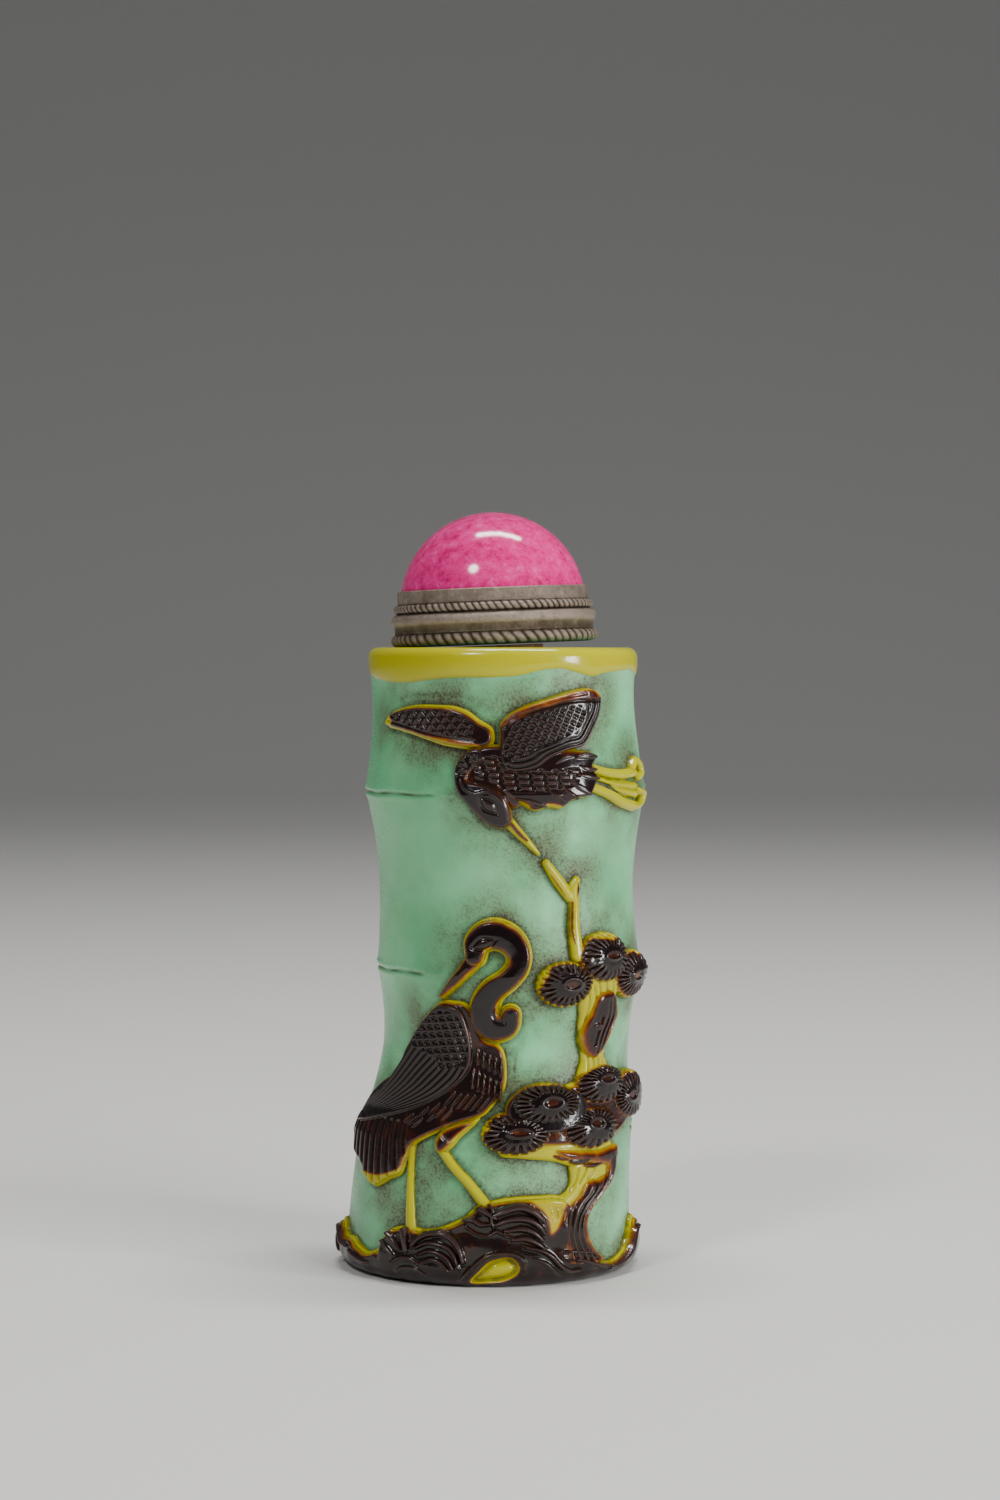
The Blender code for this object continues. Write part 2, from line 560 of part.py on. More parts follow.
def collar_profile():
    """Down the outside: lip, upper rope bead, groove, round moulding, cove, lower rope bead, then up the inside."""
    bead = ROPE_RADIUS
    lip_bottom = COLLAR_HEIGHT - LIP_HEIGHT
    upper_bead = lip_bottom - bead
    lower_bead = bead * 1.3
    middle = (upper_bead + lower_bead) / 2 + bead * 0.4
    cove = (middle + lower_bead) / 2
    lip = lip_radius()
    stone_side = lip - LIP_WALL
    points = [(stone_side, COLLAR_HEIGHT)]
    points.append((lip - LIP_WALL / 2, COLLAR_HEIGHT))
    points.append((lip, COLLAR_HEIGHT - LIP_WALL / 2))
    points.append((lip, lip_bottom))
    points += arc_points(COLLAR_RADIUS - bead, upper_bead, bead, 70, -70, 3)
    points.append((COLLAR_RADIUS - bead, upper_bead - bead * 1.5))
    points += arc_points(COLLAR_RADIUS - bead * 0.9, middle, bead * 1.1, 80, -80, 3)
    points.append((COLLAR_RADIUS - bead * 0.7, cove))
    points += arc_points(COLLAR_RADIUS - bead, lower_bead, bead * 1.2, 70, -70, 3)
    points.append((COLLAR_RADIUS - bead * 1.2, 0.0))
    points.append((0.0, 0.0))
    return points, [(0.0, COLLAR_FLOOR), (stone_side, COLLAR_FLOOR), (stone_side, COLLAR_HEIGHT)]


def stopper_collar(collection, seat):
    outside, inside = collar_profile()
    collar = turned_object("stopper_collar", outside + inside, TURNED_STEPS, collection)
    collar.parent = seat
    collar.data.materials.append(material("aged bronze collar", (0.092, 0.068, 0.048), 0.5, metallic=0.85))
    return collar


def stone_profile():
    """A high round cabochon: a cap of a sphere above the lip, and a straight seat inside the collar."""
    side = lip_radius() - LIP_WALL - FIT_GAP
    seat_bottom = COLLAR_FLOOR + FIT_GAP
    sphere = (side**2 + STONE_RISE**2) / (2 * STONE_RISE)
    centre = COLLAR_HEIGHT + STONE_RISE - sphere
    lowest = math.degrees(math.asin((COLLAR_HEIGHT - centre) / sphere))
    points = arc_points(0.0, centre, sphere, 90, lowest, 8)
    points[0] = (0.0, COLLAR_HEIGHT + STONE_RISE)
    points += [(side, seat_bottom + FIT_GAP), (side - FIT_GAP, seat_bottom), (0.0, seat_bottom)]
    return points


def stopper_stone(collection, seat):
    stone = turned_object("stopper_stone", stone_profile(), TURNED_STEPS, collection)
    stone.parent = seat
    stone.data.materials.append(material("pink stone", (0.546, 0.045, 0.162), 0.12))
    return stone


def stopper_cork(collection, seat):
    """The plug under the collar. It reaches down into the bore, with room for the tilt."""
    swing = math.sin(STOPPER_TILT) * CORK_DEPTH / 2
    top_radius = MOUTH_RADIUS - FIT_GAP - swing
    lifted = FIT_GAP + COLLAR_RADIUS * math.sin(STOPPER_TILT)
    bottom = -lifted - CORK_DEPTH
    chamfer = 2 * FIT_GAP
    profile = [(0.0, -FIT_GAP), (top_radius, -FIT_GAP), (top_radius - CORK_TAPER, bottom + chamfer)]
    profile += [(top_radius - CORK_TAPER - chamfer, bottom), (0.0, bottom)]
    cork = turned_object("stopper_cork", profile, TURNED_STEPS, collection)
    cork.parent = seat
    cork.data.materials.append(material("cork", (0.402, 0.242, 0.124), 0.85))
    return cork


def main():
    for obj in list(bpy.data.objects):
        bpy.data.objects.remove(obj)
    snuff_bottle = new_collection("snuff_bottle")
    cutters = new_collection("cutters", hidden=True)
    bottle(snuff_bottle, cutters)
    seat = stopper_seat(snuff_bottle)
    stopper_collar(snuff_bottle, seat)
    stopper_stone(snuff_bottle, seat)
    stopper_cork(snuff_bottle, seat)


if __name__ == "__main__":
    main()
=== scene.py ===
"""Looks of a carved overlay glass snuff bottle: glass, carving, stopper and studio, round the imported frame.

Lengths in the classes are millimetres, as a carver would give them. The carving is drawn flat, as
(arc, rise): millimetres round the body at the drawing radius, and millimetres up it. Bamboo.place wraps it
round the body.
"""

import logging
import math
from dataclasses import dataclass, field
from enum import Enum
from functools import cached_property
from typing import Sequence

import bmesh
import bpy
import numpy as np
from mathutils import Matrix, Vector


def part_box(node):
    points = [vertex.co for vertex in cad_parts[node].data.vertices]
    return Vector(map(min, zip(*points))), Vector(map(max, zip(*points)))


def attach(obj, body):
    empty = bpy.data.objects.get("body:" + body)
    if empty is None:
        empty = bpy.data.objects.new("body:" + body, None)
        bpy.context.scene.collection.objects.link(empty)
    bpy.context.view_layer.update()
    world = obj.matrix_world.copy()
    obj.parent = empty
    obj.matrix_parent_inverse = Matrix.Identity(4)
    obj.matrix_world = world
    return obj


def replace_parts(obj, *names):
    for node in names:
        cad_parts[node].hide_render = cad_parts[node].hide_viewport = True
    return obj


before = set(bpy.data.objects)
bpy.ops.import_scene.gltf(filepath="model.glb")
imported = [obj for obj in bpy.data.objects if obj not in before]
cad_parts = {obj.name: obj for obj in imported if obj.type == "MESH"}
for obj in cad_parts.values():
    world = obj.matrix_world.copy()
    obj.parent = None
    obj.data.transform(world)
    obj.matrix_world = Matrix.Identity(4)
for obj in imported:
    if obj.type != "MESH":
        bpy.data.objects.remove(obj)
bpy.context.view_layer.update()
LOG = logging.getLogger("snuff_bottle")

MM = 0.001
BODY = "root"
WELD = 0.0005
Array = np.ndarray
Point = tuple[float, float]
Socket = bpy.types.NodeSocket
Inputs = dict[str | int, object]


# Numbers


def smooth(value: Array, start: float, end: float) -> Array:
    """Rise smoothly from 0 at start to 1 at end."""
    along = np.clip((value - start) / (end - start), 0.0, 1.0)
    return along * along * (3 - 2 * along)


def rounded(value: Array, run: float) -> Array:
    """Rise from 0 to 1 as a quarter circle over the run, steep at first."""
    along = np.clip(value / run, 0.0, 1.0)
    return np.sqrt(np.maximum(1 - (1 - along) ** 2, 0.0))


def notch(distance: Array, width: float) -> Array:
    """Give the cut of a wheel-engraved line: 1 on the line, 0 a width away from it."""
    return np.exp(-((distance / width) ** 2))


def smooth_through(points: Sequence[Sequence[float]], closed: bool, steps: int = 5) -> Array:
    """Draw a Catmull-Rom curve through points.

    Args:
        points: The points, with any further values such as a half width.
        closed: Whether the curve returns to its first point.
        steps: How many pieces each stretch is drawn in.

    Returns:
        The curve's points, one row each.
    """
    fixed = np.array(points, float)
    count = len(fixed)
    if closed:
        padded = np.vstack([fixed[-1], fixed, fixed[:2]])
        spans = count
    else:
        padded = np.vstack([2 * fixed[0] - fixed[1], fixed, 2 * fixed[-1] - fixed[-2]])
        spans = count - 1
    drawn = []
    for span in range(spans):
        p0, p1, p2, p3 = padded[span : span + 4]
        for t in np.arange(steps) / steps:
            linear = 2 * p1 + (p2 - p0) * t
            square = (2 * p0 - 5 * p1 + 4 * p2 - p3) * t**2
            cube = (3 * p1 - p0 - 3 * p2 + p3) * t**3
            drawn.append((linear + square + cube) / 2)
    if not closed:
        drawn.append(fixed[-1])
    return np.array(drawn)


# The bamboo body


@dataclass(frozen=True)
class Bamboo:
    """The bare body: joints and hollowed waists as shares of the height and of the foot's radius."""

    height: float
    foot_radius: float = 15.0
    lean: float = 2.0
    lean_start: float = 0.08
    lean_end: float = 0.43
    return_start: float = 0.48
    return_share: float = 0.29
    drawing_height: float = 64.5
    drawing_radius: float = 13.5
    sharpness: float = 1.7
    stations: tuple[Point, ...] = (
        (0.0, 1.0), (0.228, 0.950), (0.366, 0.858), (0.488, 0.920), (0.614, 0.885), (0.772, 0.979),
        (0.915, 0.914), (0.975, 0.931), (1.0, 0.931)
    )
    waists: tuple[int, ...] = (2, 4, 6)
    joints: tuple[int, ...] = (1, 3, 5)

    def radius(self, level: Array) -> Array:
        """Give the ground's radius at each height above the underside."""
        share = np.clip(np.asarray(level, float) / self.height, 0.0, 1.0)
        heights = np.array([station[0] for station in self.stations])
        radii = np.array([station[1] for station in self.stations])
        below = np.clip(np.searchsorted(heights, share, side="right") - 1, 0, len(heights) - 2)
        along = (share - heights[below]) / (heights[below + 1] - heights[below])
        from_waist = np.isin(below, self.waists)
        to_waist = np.isin(below + 1, self.waists)
        bent = np.where(from_waist, along**self.sharpness, along)
        bent = np.where(to_waist, 1 - (1 - along) ** self.sharpness, bent)
        return self.foot_radius * (radii[below] + (radii[below + 1] - radii[below]) * bent)

    def drift(self, level: Array) -> Array:
        """Give the centre line's sideways drift at each height."""
        share = np.asarray(level, float) / self.height
        back = self.return_share * np.clip((share - self.return_start) / (1 - self.return_start), 0.0, 1.0)
        return self.lean * (smooth(share, self.lean_start, self.lean_end) - back)

    def place(self, arc: Array, rise: Array, proud: Array) -> Array:
        """Wrap flat-drawn points round the body.

        Args:
            arc: Millimetres round the body from the middle of the front.
            rise: Millimetres up the drawing.
            proud: Millimetres out from the ground.

        Returns:
            Points in metres, one row each.
        """
        level = rise * self.height / self.drawing_height
        angle = arc / self.drawing_radius
        reach = self.radius(level) + proud
        x = self.drift(level) + reach * np.sin(angle)
        y = -reach * np.cos(angle)
        return np.stack([x, y, level], axis=1) * MM

    def joint_levels(self) -> list[float]:
        """Give the heights of the joints."""
        return [self.stations[joint][0] * self.height for joint in self.joints]


# Shapes of the carving


@dataclass
class Outline:
    """An area with a smooth closed outline."""

    points: Sequence[Point]
    curve: Array = field(init=False)

    def __post_init__(self) -> None:
        """Draw the outline once."""
        self.curve = smooth_through(self.points, closed=True)

    def box(self) -> tuple[float, float, float, float]:
        """Give the lowest and highest arc and rise."""
        low, high = self.curve.min(axis=0), self.curve.max(axis=0)
        return low[0], high[0], low[1], high[1]

    def depth(self, arc: Array, rise: Array) -> Array:
        """Give the distance inside the outline, negative outside it."""
        nearest = np.full(arc.shape, np.inf)
        inside = np.zeros(arc.shape, bool)
        ends = np.roll(self.curve, -1, axis=0)
        for (x0, y0), (x1, y1) in zip(self.curve, ends):
            dx, dy = x1 - x0, y1 - y0
            along = np.clip(((arc - x0) * dx + (rise - y0) * dy) / max(dx * dx + dy * dy, 1e-12), 0, 1)
            gap = (arc - x0 - along * dx) ** 2 + (rise - y0 - along * dy) ** 2
            nearest = np.minimum(nearest, gap)
            crosses = (y0 > rise) != (y1 > rise)
            if dy != 0:
                inside ^= crosses & (arc < dx * (rise - y0) / dy + x0)
        return np.where(inside, 1.0, -1.0) * np.sqrt(nearest)


@dataclass
class Stroke:
    """A tapering stroke along points of (arc, rise, half width)."""

    points: Sequence[tuple[float, float, float]]
    curve: Array = field(init=False)

    def __post_init__(self) -> None:
        """Draw the stroke once."""
        self.curve = smooth_through(self.points, closed=False)

    def box(self) -> tuple[float, float, float, float]:
        """Give the lowest and highest arc and rise."""
        widest = self.curve[:, 2].max()
        low, high = self.curve[:, :2].min(axis=0) - widest, self.curve[:, :2].max(axis=0) + widest
        return low[0], high[0], low[1], high[1]

    def depth(self, arc: Array, rise: Array) -> Array:
        """Give the distance inside the stroke's edge, negative outside it."""
        deepest = np.full(arc.shape, -np.inf)
        for (x0, y0, r0), (x1, y1, r1) in zip(self.curve, self.curve[1:]):
            dx, dy = x1 - x0, y1 - y0
            along = np.clip(((arc - x0) * dx + (rise - y0) * dy) / max(dx * dx + dy * dy, 1e-12), 0, 1)
            gap = np.hypot(arc - x0 - along * dx, rise - y0 - along * dy)
            deepest = np.maximum(deepest, r0 + (r1 - r0) * along - gap)
        return deepest

    def off_line(self, arc: Array, rise: Array) -> Array:
        """Give the distance outside the stroke, which is that from its middle line where it has no width."""
        return np.maximum(-self.depth(arc, rise), 0.0)


def thread(route: Sequence[Point]) -> Stroke:
    """Make a stroke that has no width."""
    return Stroke([(arc, rise, 0.0) for arc, rise in route])


@dataclass
class Disc:
    """An oval disc with a softly scalloped edge, as a cluster of pine needles has."""

    centre: Point
    half_width: float
    half_rise: float
    turn: float = 0.0
    scallops: int = 21
    scallop_cut: float = 0.035

    def polar(self, arc: Array, rise: Array) -> tuple[Array, Array]:
        """Give each point's reach, 1 at the edge, and its angle on the disc."""
        x, y = arc - self.centre[0], rise - self.centre[1]
        across = (x * math.cos(self.turn) + y * math.sin(self.turn)) / self.half_width
        along = (y * math.cos(self.turn) - x * math.sin(self.turn)) / self.half_rise
        return np.hypot(across, along), np.arctan2(along, across)

    def box(self) -> tuple[float, float, float, float]:
        """Give the lowest and highest arc and rise."""
        reach = max(self.half_width, self.half_rise) * 1.05
        return (
            self.centre[0] - reach, self.centre[0] + reach, self.centre[1] - reach, self.centre[1] + reach
        )

    def depth(self, arc: Array, rise: Array) -> Array:
        """Give the distance inside the edge, negative outside it."""
        reach, angle = self.polar(arc, rise)
        spread = np.hypot(arc - self.centre[0], rise - self.centre[1])
        scale = np.where(
            reach > 1e-3, spread / np.maximum(reach, 1e-3), min(self.half_width, self.half_rise)
        )
        edge = 1 - self.scallop_cut * (0.5 - 0.5 * np.cos(self.scallops * angle))
        return (edge - reach) * scale


Shape = Outline | Stroke | Disc


def near_to(shape: Shape, arc: Array, rise: Array, margin: float = 0.5) -> Array:
    """Tell which points are inside a shape's box or within a margin of it."""
    low_arc, high_arc, low_rise, high_rise = shape.box()
    across = (arc > low_arc - margin) & (arc < high_arc + margin)
    return across & (rise > low_rise - margin) & (rise < high_rise + margin)


# Tool marks in the carving


@dataclass
class Net:
    """Two families of raised lines with a pit in every cell, as the scale feathers have."""

    angles: Point
    pitch: float
    area: Shape
    cut: float = 0.2
    line: float = 0.12

    def take(self, arc: Array, rise: Array, depth: Array) -> Array:
        """Give how much glass the pits take away at each point."""
        pit = np.ones(arc.shape)
        for angle in self.angles:
            turn = math.radians(angle)
            across = (arc * math.cos(turn) + rise * math.sin(turn)) / self.pitch
            from_line = (0.5 - np.abs((across % 1.0) - 0.5)) * self.pitch
            pit = np.minimum(pit, smooth(from_line, self.line * 0.4, self.line * 0.4 + 0.2))
        return self.cut * pit * smooth(self.area.depth(arc, rise), 0.0, 0.2)


@dataclass
class Bars:
    """Rows of short raised bars, as the small body feathers have."""

    row_pitch: float
    length: float
    angle: float = 0.0
    cut: float = 0.17
    stagger: float = 0.15
    area: Shape | None = None

    def take(self, arc: Array, rise: Array, depth: Array) -> Array:
        """Give how much glass is cut from between the bars at each point."""
        turn = math.radians(self.angle)
        along = arc * math.cos(turn) + rise * math.sin(turn)
        up = (rise * math.cos(turn) - arc * math.sin(turn)) / self.row_pitch
        row = np.floor(up)
        off_row = np.abs((up % 1.0) - 0.5) * self.row_pitch
        shifted = along / self.length + self.stagger * row + 0.06 * np.sin(2.1 * row)
        off_bar = np.abs((shifted % 1.0) - 0.5) * self.length
        bar = 1 - smooth(off_row, 0.2 * self.row_pitch, 0.42 * self.row_pitch)
        bar = bar * (1 - smooth(off_bar, 0.27 * self.length, 0.27 * self.length + 0.14))
        taken = self.cut * (1 - bar)
        return taken if self.area is None else taken * smooth(self.area.depth(arc, rise), 0.0, 0.25)


@dataclass
class Contours:
    """Cuts that follow the edge at set distances from it, as the long flight feathers do."""

    distances: Sequence[float]
    cut: float = 0.16
    width: float = 0.13
    area: Shape | None = None

    def take(self, arc: Array, rise: Array, depth: Array) -> Array:
        """Give how much glass the cuts take away at each point."""
        taken = np.zeros(arc.shape)
        for distance in self.distances:
            taken = np.maximum(taken, self.cut * notch(depth - distance, self.width))
        return taken if self.area is None else taken * smooth(self.area.depth(arc, rise), 0.0, 0.15)


@dataclass
class Lines:
    """Freehand cuts along routes of (arc, rise). A negative cut leaves a ridge."""

    routes: Sequence[Sequence[Point]]
    cut: float = 0.18
    width: float = 0.13

    def take(self, arc: Array, rise: Array, depth: Array) -> Array:
        """Give how much glass the cuts take away at each point."""
        taken = np.zeros(arc.shape)
        for route in self.routes:
            cut_line = thread(route)
            near = near_to(cut_line, arc, rise)
            if not near.any():
                continue
            line = np.zeros(arc.shape)
            line[near] = self.cut * notch(cut_line.off_line(arc[near], rise[near]), self.width)
            taken = np.minimum(taken, line) if self.cut < 0 else np.maximum(taken, line)
        return taken


@dataclass
class Needles:
    """Radial cuts round the rim of a pine cluster, with a ringed boss in its middle."""

    disc: Disc
    count: int = 23
    cut: float = 0.38
    boss: Point = (0.0, 0.0)
    boss_size: Point = (0.8, 0.5)
    boss_rise: float = 0.15
    inner: float = 0.42
    dish: float = 0.22

    def take(self, arc: Array, rise: Array, depth: Array) -> Array:
        """Give how much glass the cuts take away at each point."""
        x, y = arc - self.boss[0], rise - self.boss[1]
        reach, _ = self.disc.polar(arc, rise)
        angle = np.arctan2(y / self.disc.half_rise, x / self.disc.half_width)
        from_boss = np.hypot(x / self.boss_size[0], y / self.boss_size[1])
        sway = 0.35 * np.sin(3 * angle + self.boss[0]) + 0.2 * np.sin(5 * angle)
        spokes = (0.5 - 0.5 * np.cos(self.count * angle + sway)) ** 2.4
        ragged = self.inner + 0.07 * np.sin(7 * angle + self.boss[1])
        fringe = smooth(reach, ragged, ragged + 0.2) * smooth(from_boss, 1.3, 1.9)
        taken = self.cut * spokes * fringe + self.dish * np.clip(reach, 0, 1) ** 3
        ring = notch(from_boss - 1.0, 0.24)
        hollow = 1 - smooth(from_boss, 0.6, 0.95)
        return taken + 0.06 * hollow - self.boss_rise * ring


@dataclass
class Eye:
    """An almond-shaped eye: a cut rim round a raised lens."""

    centre: Point
    half_width: float
    half_rise: float
    turn: float
    cut: float = 0.2

    def take(self, arc: Array, rise: Array, depth: Array) -> Array:
        """Give how much glass the cuts take away at each point."""
        turn = math.radians(self.turn)
        x, y = arc - self.centre[0], rise - self.centre[1]
        along = (x * math.cos(turn) + y * math.sin(turn)) / self.half_width
        across = (y * math.cos(turn) - x * math.sin(turn)) / self.half_rise
        almond = np.abs(across) + np.abs(along) ** 1.6
        return self.cut * notch(almond - 1.0, 0.3) - 0.08 * notch(np.hypot(along, across * 0.8), 0.4)


Mark = Net | Bars | Contours | Lines | Needles | Eye


class Layer(Enum):
    """Which overlay layer a carved form is cut from."""

    YELLOW = "yellow"
    BROWN = "brown"


YELLOW_THICKNESS = 0.5
YELLOW_WALL = 0.28
FAR = 9.0


@dataclass
class Carving:
    """One carved form: its area, its layer, its height and the marks on it."""

    shape: Shape
    layer: Layer = Layer.BROWN
    top: float = 1.1
    border: float = 0.32
    crown: float = 0.12
    crown_run: float = 1.2
    wall: float = 0.32
    fade: float = 0.4
    bite: float = 0.6
    marks: Sequence[Mark] = ()
    thin: Sequence[tuple[Shape, float]] = ()

    def form(self, arc: Array, rise: Array) -> tuple[Array, Array, Array]:
        """Work out the carved form at points of the drawing.

        Args:
            arc: Millimetres round the body.
            rise: Millimetres up the drawing.

        Returns:
            The distance inside the edge, the height above the ground and the thickness of brown glass.
        """
        depth = self.shape.depth(arc, rise)
        if self.layer is Layer.YELLOW:
            height = self.top * rounded(depth, self.wall * 2)
            brown = np.zeros(arc.shape)
            inner = depth
        else:
            inner = depth - self.border
            over = self.top - YELLOW_THICKNESS
            height = YELLOW_THICKNESS * rounded(depth, YELLOW_WALL) + over * rounded(inner, self.wall)
            height = height + np.where(inner > 0, self.crown * (1 - np.exp(-inner / self.crown_run)), 0.0)
            brown = over * smooth(inner, -0.05, self.fade)
        on_top = smooth(inner, 0.0, 0.25)
        taken = np.zeros(arc.shape)
        for mark in self.marks:
            taken = taken + mark.take(arc, rise, depth) * on_top
        height = height - taken
        brown = np.maximum(brown - self.bite * np.maximum(taken, 0.0), 0.0)
        for area, share in self.thin:
            brown = brown * (1 - (1 - share) * smooth(area.depth(arc, rise), -0.15, 0.3))
        return depth, np.where(depth > 0, np.maximum(height, 0.0), -1.0), brown


def ridge(route: Sequence[Point], half_width: float, top: float, border: float = 0.04) -> Carving:
    """Make a narrow raised form along a route that tapers at both ends."""
    taper = np.sin(np.linspace(0.18, 0.82, len(route)) * math.pi)
    widths = half_width * (0.45 + 0.55 * taper / taper.max())
    points = [(place[0], place[1], float(width)) for place, width in zip(route, widths)]
    return Carving(Stroke(points), top=top, border=border, crown=0.0, wall=half_width * 0.9)


# Meshes


def grid_values(shape: bmesh.types.BMesh) -> Array:
    """Read the places of a mesh's vertices, one row each."""
    return np.array([vertex.co[:] for vertex in shape.verts])


def move_to(shape: bmesh.types.BMesh, places: Array) -> None:
    """Move each vertex to its place."""
    for vertex, place in zip(shape.verts, places):
        vertex.co = place


def new_layer(shape: bmesh.types.BMesh, name: str, values: Array | None = None) -> bmesh.types.BMLayerItem:
    """Add a vertex layer of numbers.

    Args:
        shape: The bmesh.
        name: The layer's name, which a material may read.
        values: One number for each vertex, or None to leave the layer at zero.

    Returns:
        The layer.
    """
    layer = shape.verts.layers.float.new(name)
    if values is not None:
        for vertex, value in zip(shape.verts, values):
            vertex[layer] = float(value)
    return layer


def layer_values(shape: bmesh.types.BMesh, layer: bmesh.types.BMLayerItem) -> Array:
    """Read a vertex layer's numbers."""
    return np.array([vertex[layer] for vertex in shape.verts])


def drop_wires(shape: bmesh.types.BMesh) -> None:
    """Take out the edges that no face uses, and the points that they leave alone."""
    wires = [edge for edge in shape.edges if not edge.link_faces]
    bmesh.ops.delete(shape, geom=wires, context="EDGES")
    bare = [vertex for vertex in shape.verts if not vertex.link_faces]
    bmesh.ops.delete(shape, geom=bare, context="VERTS")


def turn_outwards(shape: bmesh.types.BMesh) -> None:
    """Make a closed shape's faces all point outwards."""
    bmesh.ops.recalc_face_normals(shape, faces=shape.faces)
    if shape.calc_volume(signed=True) < 0:
        bmesh.ops.reverse_faces(shape, faces=shape.faces)


def softened(shape: bmesh.types.BMesh, values: Array, times: int = 10) -> Array:
    """Average each vertex's value with its neighbours'.

    Args:
        shape: The mesh.
        values: One value for each vertex.
        times: How many times that is done.

    Returns:
        The softened values.
    """
    shape.verts.index_update()
    ends = np.array([(edge.verts[0].index, edge.verts[1].index) for edge in shape.edges])
    both = np.concatenate([ends, ends[:, ::-1]])
    shares = 1 + np.bincount(both[:, 0], minlength=len(values))
    for _ in range(times):
        values = (values + np.bincount(both[:, 0], values[both[:, 1]], len(values))) / shares
    return values


def thicken(shape: bmesh.types.BMesh, columns: Array, rows: Array, block: int) -> set[bmesh.types.BMVert]:
    """Give a flat sheet a second face, and join the hidden one's small squares into larger ones.

    Args:
        shape: The flat sheet.
        columns: The grid column that each vertex was made on.
        rows: The grid row that each vertex was made on.
        block: How many of the sheet's squares a side of a larger one takes.

    Returns:
        The vertices of the face that is carved. All the others belong to the hidden face.
    """
    column_layer = new_layer(shape, "column", columns)
    row_layer = new_layer(shape, "row", rows)
    made = bmesh.ops.extrude_face_region(shape, geom=shape.faces[:], use_keep_orig=True)
    carved = {item for item in made["geom"] if isinstance(item, bmesh.types.BMVert)}
    hidden = {face for face in shape.faces if not any(corner in carved for corner in face.verts)}
    inner_edges = []
    rim = set()
    for edge in shape.edges:
        one, two = edge.verts
        if not all(face in hidden for face in edge.link_faces):
            rim.update((one, two))
            continue
        on_column = one[column_layer] == two[column_layer] and one[column_layer] % block == 0
        on_row = one[row_layer] == two[row_layer] and one[row_layer] % block == 0
        edge.seam = on_column or on_row
        inner_edges.append(edge)
    inner = [corner for corner in shape.verts if corner not in rim and corner not in carved]
    bmesh.ops.dissolve_limit(
        shape, angle_limit=0.02, use_dissolve_boundaries=False, verts=inner, edges=inner_edges,
        delimit={"SEAM"}
    )
    return carved


def finish_mesh(
    name: str, shape: bmesh.types.BMesh, finish: "Finish", sharp: float = 40.0
) -> bpy.types.Object:
    """Make the finished object of a bmesh, with its place in its mesh.

    Args:
        name: The piece's name.
        shape: The bmesh, which is freed.
        finish: What the piece's surface is.
        sharp: Edges that turn by more than this many degrees stay crisp.

    Returns:
        The object, which rides on the body.
    """
    mesh = bpy.data.meshes.new(name)
    shape.to_mesh(mesh)
    shape.free()
    mesh.shade_smooth()
    mesh.set_sharp_from_angle(angle=math.radians(sharp))
    mesh.materials.append(finish.material)
    piece = bpy.data.objects.new(name, mesh)
    bpy.context.scene.collection.objects.link(piece)
    LOG.info("%s: %d faces", name, len(mesh.polygons))
    return piece


